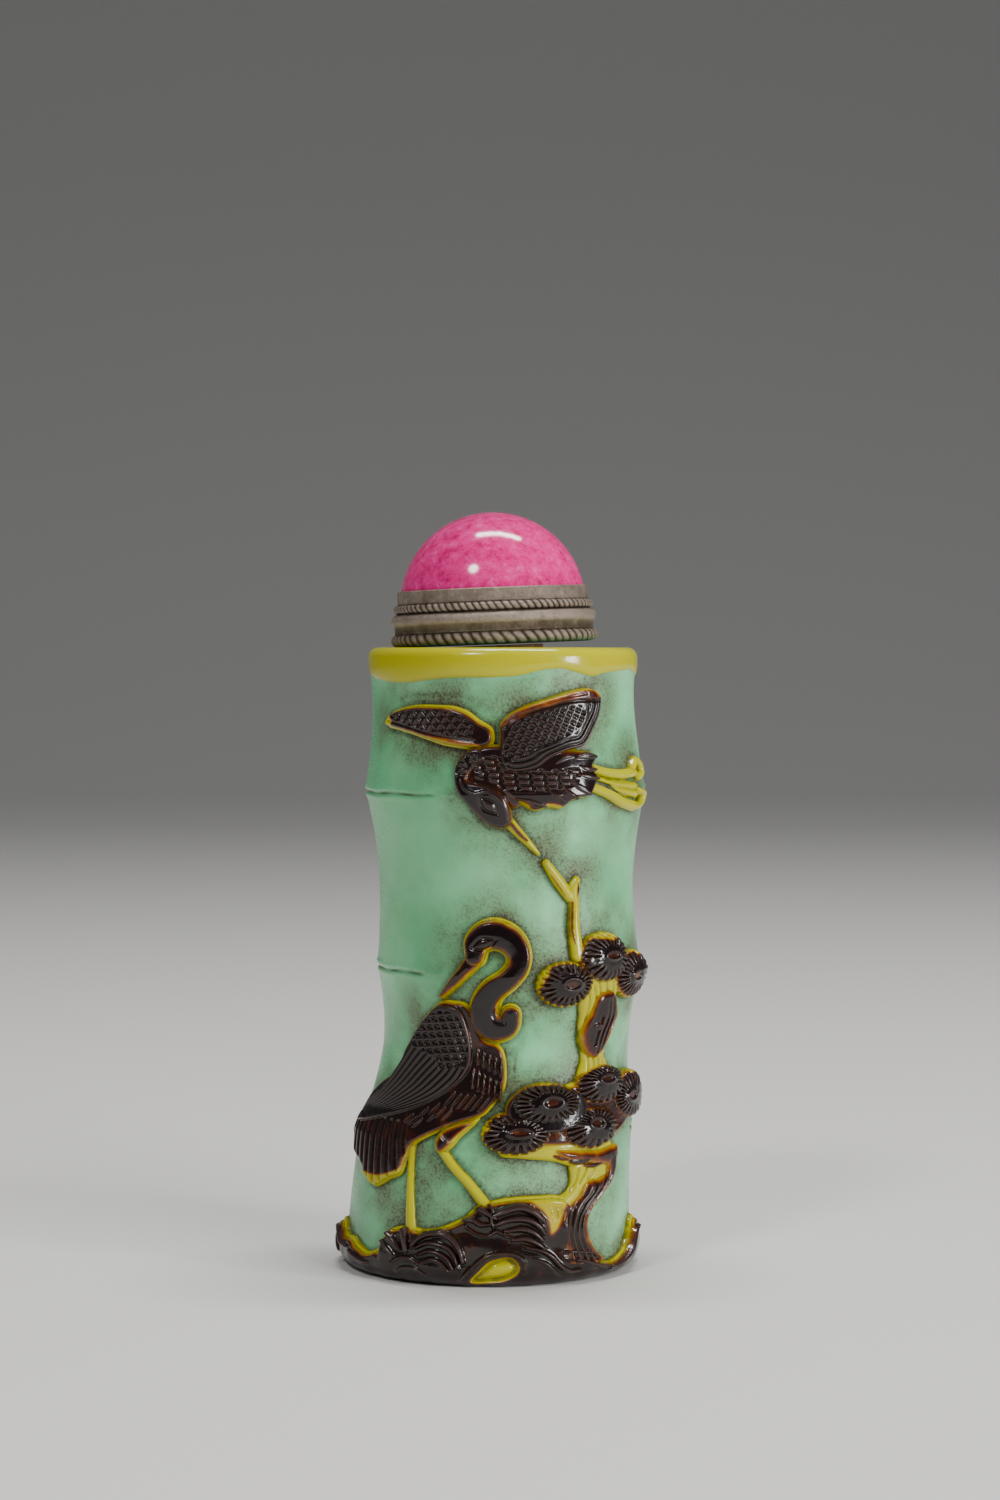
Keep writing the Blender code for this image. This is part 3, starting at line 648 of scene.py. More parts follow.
@dataclass
class CarvedPatch:
    """Overlay glass carved in relief: a fine sheet trimmed to its outline and wrapped round the body."""

    name: str
    bamboo: Bamboo
    carvings: list[Carving]
    step: float = 0.075
    root: float = 0.35
    thinnest: float = 0.03
    edge_inset: float = 0.005
    block: int = 12

    def form(self, arc: Array, rise: Array) -> tuple[Array, Array, Array]:
        """Combine the carved forms, the highest on top.

        Args:
            arc: Millimetres round the body.
            rise: Millimetres up the drawing.

        Returns:
            The distance inside the whole outline, the height and the thickness of brown glass.
        """
        depth = np.full(arc.shape, -FAR)
        height = np.full(arc.shape, -1.0)
        brown = np.zeros(arc.shape)
        for carving in self.carvings:
            near = near_to(carving.shape, arc, rise)
            if not near.any():
                continue
            own_depth, own_height, own_brown = carving.form(arc[near], rise[near])
            depth[near] = np.maximum(depth[near], own_depth)
            higher = own_height > height[near]
            brown[near] = np.where(higher, own_brown, brown[near])
            height[near] = np.where(higher, own_height, height[near])
        return depth, height, brown

    def outline_depth(self, arc: Array, rise: Array) -> Array:
        """Give the distance inside the whole outline."""
        depth = np.full(arc.shape, -FAR)
        for carving in self.carvings:
            near = near_to(carving.shape, arc, rise)
            if near.any():
                depth[near] = np.maximum(depth[near], carving.shape.depth(arc[near], rise[near]))
        return depth

    def box(self) -> tuple[float, float, float, float]:
        """Give the lowest and highest arc and rise of the whole drawing."""
        boxes = np.array([carving.shape.box() for carving in self.carvings])
        return boxes[:, 0].min(), boxes[:, 1].max(), boxes[:, 2].min(), boxes[:, 3].max()

    def snap(self, points: Array) -> Array:
        """Move points that lie just outside the outline onto it."""
        reach = 0.02
        moved = points.copy()
        for _ in range(2):
            here = self.outline_depth(moved[:, 0], moved[:, 1])
            right = self.outline_depth(moved[:, 0] + reach, moved[:, 1])
            up = self.outline_depth(moved[:, 0], moved[:, 1] + reach)
            slope = np.stack([right - here, up - here], axis=1) / reach
            steep = np.maximum((slope**2).sum(axis=1, keepdims=True), 0.25)
            moved = moved - slope / steep * (here[:, None] - self.edge_inset)
        far = np.abs(moved - points).max(axis=1) > 2 * self.step
        moved[far] = points[far]
        return moved

    def flat_sheet(self) -> tuple[bmesh.types.BMesh, Array, Array]:
        """Make the flat sheet, trimmed to the outline.

        Returns:
            The sheet and the grid column and row of each of its vertices.
        """
        low_arc, high_arc, low_rise, high_rise = self.box()
        margin = 2 * self.step
        low = np.array([low_arc - margin, low_rise - margin])
        size = np.array([high_arc - low_arc, high_rise - low_rise]) + 2 * margin
        counts = np.ceil(size / self.step).astype(int)
        shape = bmesh.new()
        bmesh.ops.create_grid(shape, x_segments=int(counts[0]), y_segments=int(counts[1]), size=1.0)
        shares = (grid_values(shape)[:, :2] + 1) / 2
        places = low + shares * size
        cells = np.rint(shares * counts)
        depth = self.outline_depth(places[:, 0], places[:, 1])
        kept = depth > -0.8 * self.step
        edge = (depth < 0) & kept
        places[edge] = self.snap(places[edge])
        move_to(shape, np.column_stack([places, np.zeros(len(places))]))
        cell_layers = (
            new_layer(shape, "grid_column", cells[:, 0]), new_layer(shape, "grid_row", cells[:, 1])
        )
        outside = [vertex for vertex, keep in zip(shape.verts, kept) if not keep]
        bmesh.ops.delete(shape, geom=outside, context="VERTS")
        for _ in range(3):
            drop_wires(shape)
            pinched = [
                vertex for vertex in shape.verts if sum(e.is_boundary for e in vertex.link_edges) > 2
            ]
            bmesh.ops.delete(shape, geom=pinched, context="VERTS")
        drop_wires(shape)
        return shape, layer_values(shape, cell_layers[0]), layer_values(shape, cell_layers[1])

    def build(self, finish: "Finish") -> bpy.types.Object:
        """Build the piece and hang it on the body in place of the bottle's carving."""
        shape, columns, rows = self.flat_sheet()
        flat = grid_values(shape)
        _, height, brown = self.form(flat[:, 0], flat[:, 1])
        proud_layer = new_layer(shape, "proud", np.maximum(height, self.thinnest))
        new_layer(shape, "raised", height - softened(shape, height))
        new_layer(shape, "brown", brown)
        carved = thicken(shape, columns, rows, self.block)
        for vertex in shape.verts:
            if vertex not in carved:
                vertex[proud_layer] = -self.root
        flat = grid_values(shape)
        places = self.bamboo.place(flat[:, 0], flat[:, 1], layer_values(shape, proud_layer))
        move_to(shape, places)
        turn_outwards(shape)
        piece = finish_mesh(self.name, shape, finish, sharp=80.0)
        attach(piece, BODY)
        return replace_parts(piece, "bottle")


# The figures


def cluster(
    centre: Point, half_width: float, half_rise: float, top: float, boss: Point,
    boss_size: Point = (0.8, 0.5), turn: float = 0.0, needles: int = 23, bright: float | None = None,
    bright_reach: float = 0.42, fade: float = 0.4
) -> Carving:
    """Make one cluster of pine needles.

    Args:
        centre: The disc's centre.
        half_width: Half its width.
        half_rise: Half its height.
        top: How proud it stands.
        boss: The place of its ringed boss.
        boss_size: The boss's half width and half height.
        turn: The disc's turn in radians.
        needles: How many cuts go round.
        bright: The side, in degrees, on which the brown is cut through to yellow.
        bright_reach: How far in that goes, as a share of the radius.
        fade: How far in the brown reaches its full thickness.

    Returns:
        The carved form.
    """
    disc = Disc(centre, half_width, half_rise, turn, scallops=needles)
    marks = (Needles(disc, needles, boss=boss, boss_size=boss_size),)
    thin = [(Disc(boss, boss_size[0] * 0.8, boss_size[1] * 0.8, scallop_cut=0.0), 0.3)]
    if bright is not None:
        side = math.radians(bright)
        away = 2.0 - bright_reach
        place = (
            centre[0] + half_width * away * math.cos(side), centre[1] + half_rise * away * math.sin(side)
        )
        thin.append((Disc(place, half_width, half_rise, scallops=9, scallop_cut=0.08), 0.04))
    return Carving(
        disc, top=top, border=0.1, crown=0.48, crown_run=1.1, wall=0.5, fade=fade, bite=1.0, marks=marks,
        thin=tuple(thin)
    )


@dataclass
class FlyingCrane:
    """The crane that flies down from the upper right, with the twig's end at its beak."""

    bamboo: Bamboo

    def left_wing(self) -> Carving:
        """Give the far wing: a net of scale feathers over an amber lower edge."""
        outline = Outline(
            (
                (-13.2, 56.4), (-13.6, 57.1), (-12.8, 58.0), (-11.0, 58.6), (-9.0, 58.9), (-7.2, 58.9),
                (-5.1, 58.8), (-3.5, 58.3), (-2.3, 57.4), (-1.0, 56.5), (-1.0, 54.9), (-2.5, 54.3),
                (-5.5, 54.6), (-7.4, 55.1), (-9.5, 55.7), (-11.9, 56.2)
            )
        )
        net = Outline(
            (
                (-12.2, 57.6), (-9.0, 58.4), (-5.2, 58.2), (-2.9, 56.8), (-3.4, 55.5), (-7.6, 56.2),
                (-10.9, 57.0)
            )
        )
        lower = Outline(
            ((-12.8, 56.4), (-7.4, 55.1), (-3.0, 54.3), (-2.4, 55.1), (-7.4, 55.9), (-10.8, 56.6))
        )
        seam = ((-12.6, 57.2), (-10.6, 56.8), (-7.4, 56.0), (-4.4, 55.4), (-2.8, 55.2))
        return Carving(
            outline, top=1.0, border=0.3,
            marks=(Net((42, -34), 0.82, net, cut=0.24, line=0.15), Lines((seam,), cut=0.14)),
            thin=((Disc((-13.4, 57.0), 1.5, 1.4), 0.0), (lower, 0.22))
        )

    def right_wing(self) -> Carving:
        """Give the near wing: an amber leading edge, a net, and long feathers along the trailing edge."""
        outline = Outline(
            (
                (-0.5, 55.4), (-0.4, 57.1), (0.7, 58.2), (2.4, 59.0), (4.9, 59.8), (7.0, 60.4), (8.9, 60.6),
                (10.0, 59.8), (9.9, 58.1), (8.9, 56.2), (7.7, 54.6), (5.9, 54.1), (4.2, 53.4), (3.0, 52.5),
                (1.3, 52.0), (0.0, 52.3), (-0.6, 53.6)
            )
        )
        net = Outline(
            (
                (-0.1, 53.6), (0.1, 55.9), (0.9, 57.0), (2.9, 57.9), (5.4, 58.6), (7.5, 58.8), (7.7, 57.2),
                (5.9, 55.8), (3.8, 54.8), (1.6, 53.6)
            )
        )
        leading = Outline(
            (
                (-0.6, 57.2), (1.5, 58.9), (6.5, 60.7), (10.0, 60.9), (9.6, 59.3), (7.0, 59.2), (2.9, 58.1),
                (0.3, 56.6)
            )
        )
        trailing = Outline(
            (
                (9.9, 59.6), (10.1, 58.0), (8.9, 55.8), (7.7, 54.0), (4.2, 52.8), (1.3, 51.6), (-0.6, 52.0),
                (0.4, 53.2), (3.2, 54.3), (6.0, 55.6), (7.8, 57.3), (8.4, 59.4)
            )
        )
        seam = ((0.0, 56.6), (1.0, 57.6), (2.9, 58.3), (5.4, 59.0), (7.4, 59.3), (9.3, 59.2))
        fine = ((0.4, 57.7), (2.4, 58.6), (5.4, 59.5), (8.0, 60.0))
        return Carving(
            outline, top=1.3, border=0.12, crown=0.2,
            marks=(
                Net((-24, 66), 0.68, net, cut=0.24, line=0.15), Lines((seam,), cut=0.2),
                Lines((fine,), cut=0.06), Contours((0.6, 1.2, 1.8), cut=0.17, area=trailing)
            ),
            thin=((leading, 0.24), (Disc((9.9, 60.4), 1.0, 0.8), 0.0))
        )

    def body(self) -> list[Carving]:
        """Give the body with its rows of small feathers and the lobes at its end."""
        outline = Outline(
            (
                (-2.8, 54.3), (-0.5, 54.9), (2.3, 54.0), (5.2, 54.4), (7.2, 54.3), (8.9, 54.1), (9.2, 53.3),
                (8.7, 52.5), (9.2, 51.7), (8.8, 50.6), (8.0, 49.5), (6.5, 49.2), (5.2, 48.3), (3.9, 48.4),
                (2.6, 48.1), (1.4, 48.8), (0.0, 49.7), (-1.4, 50.9), (-3.0, 51.5)
            )
        )
        feathered = Outline(
            (
                (-3.4, 54.0), (0.0, 53.6), (3.6, 52.4), (6.8, 52.6), (6.6, 50.9), (4.4, 50.2), (1.2, 50.1),
                (-1.6, 50.9)
            )
        )
        under = Outline(((0.0, 49.9), (1.2, 49.5), (2.3, 48.8), (1.8, 47.9), (0.2, 48.6)))
        between = Outline(((3.5, 49.1), (4.6, 49.0), (5.4, 48.7), (5.0, 47.8), (3.6, 47.9)))
        forms = [
            Carving(
                outline, top=1.02, border=0.18, crown=0.2,
                marks=(Bars(0.62, 1.3, angle=-3, area=feathered, cut=0.24),),
                thin=((under, 0.05), (between, 0.05))
            )
        ]
        lobes = (
            (((4.6, 53.0), (5.6, 53.6), (6.4, 53.7)), 0.34),
            (((6.9, 53.6), (8.0, 53.7), (8.9, 53.6)), 0.46),
            (((7.0, 52.7), (7.8, 52.4), (8.8, 52.3)), 0.36),
            (((6.8, 51.8), (7.9, 51.6), (9.0, 51.4)), 0.36),
            (((6.0, 51.1), (6.9, 50.5), (7.9, 49.9)), 0.46),
            (((5.2, 50.5), (5.9, 49.9), (6.6, 49.4)), 0.34), (((3.9, 50.2), (4.6, 49.8), (5.3, 49.2)), 0.4),
            (((1.9, 49.4), (2.7, 49.0), (3.6, 48.7)), 0.36), (((0.9, 49.5), (1.7, 49.3), (2.4, 48.8)), 0.26)
        )
        for route, width in lobes:
            form = ridge(route, width, 1.34)
            form.marks = (Lines((route,), cut=0.1, width=0.1),)
            forms.append(form)
        return forms

    def head(self) -> list[Carving]:
        """Give the neck, the head with its eye, and the beak."""
        neck = Outline(
            (
                (-2.2, 54.6), (-3.6, 54.3), (-4.6, 52.8), (-4.7, 51.2), (-4.3, 49.9), (-3.6, 48.8),
                (-2.8, 47.8), (-1.9, 46.9), (-0.9, 46.4), (0.0, 46.4), (0.6, 47.0), (0.6, 48.3),
                (0.1, 49.6), (-0.8, 50.5), (-2.0, 51.0), (-3.2, 51.4), (-2.6, 52.6), (-1.6, 53.4)
            )
        )
        hood = (
            (-3.9, 51.2), (-3.4, 50.4), (-2.6, 50.0), (-1.6, 50.2), (-0.8, 49.7), (-0.1, 48.6), (0.1, 47.4)
        )
        throat = Outline(
            (
                (-4.0, 53.0), (-1.6, 53.4), (0.0, 51.6), (1.4, 49.9), (0.9, 48.4), (-0.8, 49.9),
                (-2.6, 50.6), (-4.0, 51.4)
            )
        )
        forms = [
            Carving(throat, top=0.92, border=0.0, crown=0.0),
            Carving(
                neck, top=1.2, border=0.1, crown=0.25,
                marks=(
                    Eye((-1.45, 48.75), 1.1, 0.55, -47), Lines((hood,), cut=-0.12, width=0.16),
                    Bars(
                        0.56, 1.2, angle=-8,
                        area=Outline(((-4.3, 53.6), (-2.4, 54.0), (-2.4, 51.9), (-4.4, 51.7)))
                    )
                )
            )
        ]
        beak = Stroke(((0.1, 47.3, 0.62), (1.0, 46.2, 0.56), (2.2, 44.9, 0.42), (3.15, 43.85, 0.26)))
        forms.append(Carving(beak, Layer.YELLOW, top=0.66))
        forms.append(ridge(((-0.2, 47.6), (0.6, 46.8), (1.2, 46.0), (2.0, 45.2)), 0.26, 0.95))
        return forms

    def legs(self) -> list[Carving]:
        """Give the legs that trail behind, with the feet curled up."""
        legs = (
            ((8.4, 52.5, 0.52), (10.8, 51.9, 0.52), (13.0, 51.7, 0.54), (15.3, 51.8, 0.55)),
            ((8.4, 50.6, 0.56), (10.7, 49.7, 0.56), (12.8, 48.8, 0.58), (15.2, 48.3, 0.62))
        )
        toes = (
            ((8.8, 51.6, 0.30), (11.0, 50.9, 0.26), (13.0, 50.6, 0.28), (15.3, 50.4, 0.42)),
            ((12.2, 50.1, 0.24), (13.6, 49.8, 0.34), (15.4, 49.5, 0.44))
        )
        feet = (
            (
                (14.9, 52.4, 0.5), (15.8, 53.0, 0.5), (16.8, 52.6, 0.52), (16.9, 51.7, 0.5),
                (16.0, 51.3, 0.45)
            ),
            ((15.2, 48.3, 0.42), (16.4, 48.5, 0.5), (16.8, 49.5, 0.5), (15.6, 49.9, 0.42))
        )
        web = Outline(((10.6, 51.2), (14.0, 51.0), (16.4, 50.6), (16.6, 49.4), (13.0, 49.4)))
        forms = [Carving(web, Layer.YELLOW, top=0.22)]
        forms += [Carving(Stroke(toe), Layer.YELLOW, top=0.45) for toe in toes]
        forms += [Carving(Stroke(leg), Layer.YELLOW, top=0.7) for leg in legs]
        forms += [Carving(Stroke(foot), Layer.YELLOW, top=0.85, wall=0.25) for foot in feet]
        return forms

    def carvings(self) -> list[Carving]:
        """Give the carved forms, from the ones furthest back."""
        return [*self.legs(), self.left_wing(), *self.body(), *self.head(), self.right_wing()]

    def build(self, finish: "Finish") -> bpy.types.Object:
        """Build the piece."""
        return CarvedPatch("flying_crane", self.bamboo, self.carvings()).build(finish)


@dataclass
class StandingCrane:
    """The crane that stands on the rocks and looks back over its wing."""

    bamboo: Bamboo

    def neck(self) -> list[Carving]:
        """Give the bent neck with the head and its eye, and the beak."""
        neck = Stroke(
            (
                (-3.2, 33.4, 1.2), (-2.9, 34.9, 1.55), (-1.5, 35.7, 1.75), (0.1, 35.2, 1.66),
                (1.0, 33.9, 1.45), (0.9, 32.4, 1.32), (-0.1, 31.1, 1.34), (-1.5, 30.0, 1.45),
                (-2.3, 28.6, 1.62), (-2.3, 27.2, 1.75), (-1.4, 26.2, 1.65), (-0.2, 26.4, 1.5),
                (0.2, 27.5, 1.25)
            )
        )
        beak = Stroke(((-3.4, 33.0, 1.0), (-4.5, 31.7, 0.8), (-5.7, 30.4, 0.64), (-6.8, 29.3, 0.44)))
        mouth = ((-3.9, 32.0), (-4.9, 31.0), (-6.0, 30.0))
        swirl = ((-1.0, 28.9), (-1.5, 27.9), (-1.2, 27.0), (-0.4, 26.8))
        lip = ((-3.9, 32.2), (-3.0, 32.7), (-2.2, 32.9), (-1.6, 33.6))
        return [
            Carving(beak, top=1.05, border=0.2, crown=0.1, fade=0.7, marks=(Lines((mouth,), cut=0.12),)),
            Carving(
                neck, top=1.25, border=0.32, crown=0.3, crown_run=0.8, fade=0.8,
                marks=(
                    Eye((-2.25, 34.75), 1.15, 0.58, 20), Lines((swirl,), cut=0.16), Lines((lip,), cut=0.12)
                )
            )
        ]

    def body(self) -> list[Carving]:
        """Give the body, the tufts of its breast, and the tail with its bright tips."""
        outline = Outline(
            (
                (-8.4, 27.8), (-7.1, 28.8), (-5.6, 28.9), (-3.9, 28.4), (-2.4, 25.4), (-0.8, 24.5),
                (-0.1, 23.4), (0.3, 21.2), (0.1, 19.5), (-0.7, 18.3), (-1.7, 17.2), (-4.3, 16.2),
                (-6.8, 14.9), (-8.0, 14.0), (-8.6, 12.4), (-9.0, 11.0), (-10.4, 10.3), (-12.3, 9.3),
                (-14.1, 10.0), (-15.4, 11.4), (-17.0, 11.9), (-18.3, 13.2), (-18.9, 15.4), (-17.9, 17.2),
                (-16.6, 18.9), (-14.3, 20.5), (-12.9, 21.3), (-11.9, 23.6), (-10.7, 25.3), (-9.5, 26.8)
            )
        )
        tips = Outline(
            (
                (-18.2, 12.4), (-15.6, 11.5), (-13.6, 10.9), (-11.6, 10.9), (-9.6, 11.6), (-8.4, 12.0),
                (-8.4, 9.0), (-17.9, 8.6)
            )
        )
        tail = []
        for i in range(10):
            share = i / 9
            top = (-17.9 + 8.6 * share, 16.4 - 0.2 * share)
            middle = (-17.9 + 8.9 * share, 14.0)
            end = (-17.2 + 8.6 * share, 9.6 + 2.4 * (2 * share - 0.9) ** 2)
            tail.append((top, middle, end))
        forms = [
            Carving(
                outline, top=0.92, border=0.26, crown=0.12, bite=0.2,
                marks=(Lines(tail, cut=0.26, width=0.17),), thin=((tips, 0.03),)
            )
        ]
        tufts = (
            ((-2.9, 24.1), (-0.5, 22.9), 5, 1.5, -84), ((-3.1, 22.0), (-0.3, 20.6), 6, 1.8, -86),
            ((-4.7, 19.6), (-1.3, 19.2), 6, 1.5, -122), ((-6.1, 18.4), (-4.7, 17.9), 3, 1.2, -128),
            ((-7.2, 17.9), (-6.2, 17.5), 2, 1.0, -130), ((-8.7, 17.2), (-7.6, 16.8), 3, 1.1, -132)
        )
        for start, end, count, length, heading in tufts:
            aim = math.radians(heading)
            for i in range(count):
                share = i / (count - 1)
                foot = (start[0] + (end[0] - start[0]) * share, start[1] + (end[1] - start[1]) * share)
                tip = (foot[0] + length * math.cos(aim), foot[1] + length * math.sin(aim))
                middle = ((foot[0] + tip[0]) / 2, (foot[1] + tip[1]) / 2)
                forms.append(ridge((foot, middle, tip), 0.29, 1.38))
        return forms

    def wing(self) -> Carving:
        """Give the folded wing: a net at the shoulder and long feathers that sweep to the tail."""
        outline = Outline(
            (
                (-8.6, 27.2), (-7.1, 28.4), (-4.9, 28.3), (-4.0, 26.8), (-3.4, 24.4), (-3.3, 22.6),
                (-3.9, 21.1), (-5.4, 19.6), (-7.4, 18.3), (-10.2, 17.1), (-14.9, 15.8), (-17.4, 15.6),
                (-16.0, 17.9), (-13.3, 20.4), (-11.8, 22.6), (-10.3, 25.1)
            )
        )
        net = Outline(
            (
                (-10.2, 24.0), (-9.9, 25.6), (-8.4, 27.1), (-6.9, 27.9), (-5.2, 27.7), (-4.4, 26.4),
                (-3.8, 24.4), (-3.9, 23.0), (-5.1, 22.0), (-6.5, 22.0), (-8.0, 23.4)
            )
        )
        high = ((-10.6, 24.2), (-11.8, 22.2), (-13.2, 20.2), (-14.8, 18.3), (-16.6, 16.8))
        low = ((-4.2, 22.0), (-4.9, 20.7), (-6.7, 19.1), (-10.0, 17.7), (-15.4, 16.2))
        feathers = []
        for share in np.linspace(0.0, 1.0, 11):
            sag = 0.9 * math.sin(math.pi * share)
            route = [
                (h[0] + (w[0] - h[0]) * share, h[1] + (w[1] - h[1]) * share) for h, w in zip(high, low)
            ]
            route[0] = (route[0][0] + 0.3 * sag, route[0][1] - 0.3 * sag)
            feathers.append(tuple(route))
        edge = ((-10.6, 25.2), (-12.2, 22.4), (-13.8, 20.3), (-16.2, 18.2))
        return Carving(
            outline, top=1.35, border=0.05, crown=0.2,
            marks=(
                Net((21, 96), 0.8, net, cut=0.26, line=0.17), Lines(feathers, cut=0.18, width=0.13),
                Lines((edge,), cut=0.12)
            ),
            thin=(
                (
                    Outline(
                        (
                            (-10.8, 26.0), (-12.6, 22.8), (-16.6, 18.6), (-17.4, 18.8), (-13.4, 22.4),
                            (-11.2, 26.0)
                        )
                    ),
                    0.3
                ),
            )
        )

    def legs(self) -> list[Carving]:
        """Give the thigh and both legs."""
        thigh = Outline(
            (
                (-2.0, 17.2), (-2.2, 16.4), (-3.3, 15.2), (-4.2, 13.9), (-5.2, 13.3), (-5.9, 14.0),
                (-5.8, 15.4), (-4.6, 16.5)
            )
        )
        leg_one = Stroke(((-8.4, 14.4, 0.4), (-8.1, 11.0, 0.42), (-7.8, 8.0, 0.5), (-7.5, 5.2, 0.62)))
        leg_two = Stroke(((-5.2, 13.9, 0.5), (-3.8, 12.2, 0.5), (-2.0, 10.4, 0.52), (-0.4, 8.4, 0.6)))
        fold = ((-5.2, 15.4), (-4.4, 14.8), (-3.6, 15.3), (-2.8, 16.2))
        return [
            Carving(leg_one, Layer.YELLOW, top=0.6),
            Carving(
                leg_two, Layer.YELLOW, top=0.66,
                marks=(Lines((((-4.6, 13.8), (-2.6, 11.6), (-0.6, 9.2)),), cut=0.1),)
            ),
            Carving(thigh, top=0.95, border=0.26, fade=0.9, marks=(Lines((fold,), cut=0.14),))
        ]

    def carvings(self) -> list[Carving]:
        """Give the carved forms, from the ones furthest back."""
        return [*self.legs(), *self.body(), self.wing(), *self.neck()]

    def build(self, finish: "Finish") -> bpy.types.Object:
        """Build the piece."""
        return CarvedPatch("standing_crane", self.bamboo, self.carvings()).build(finish)


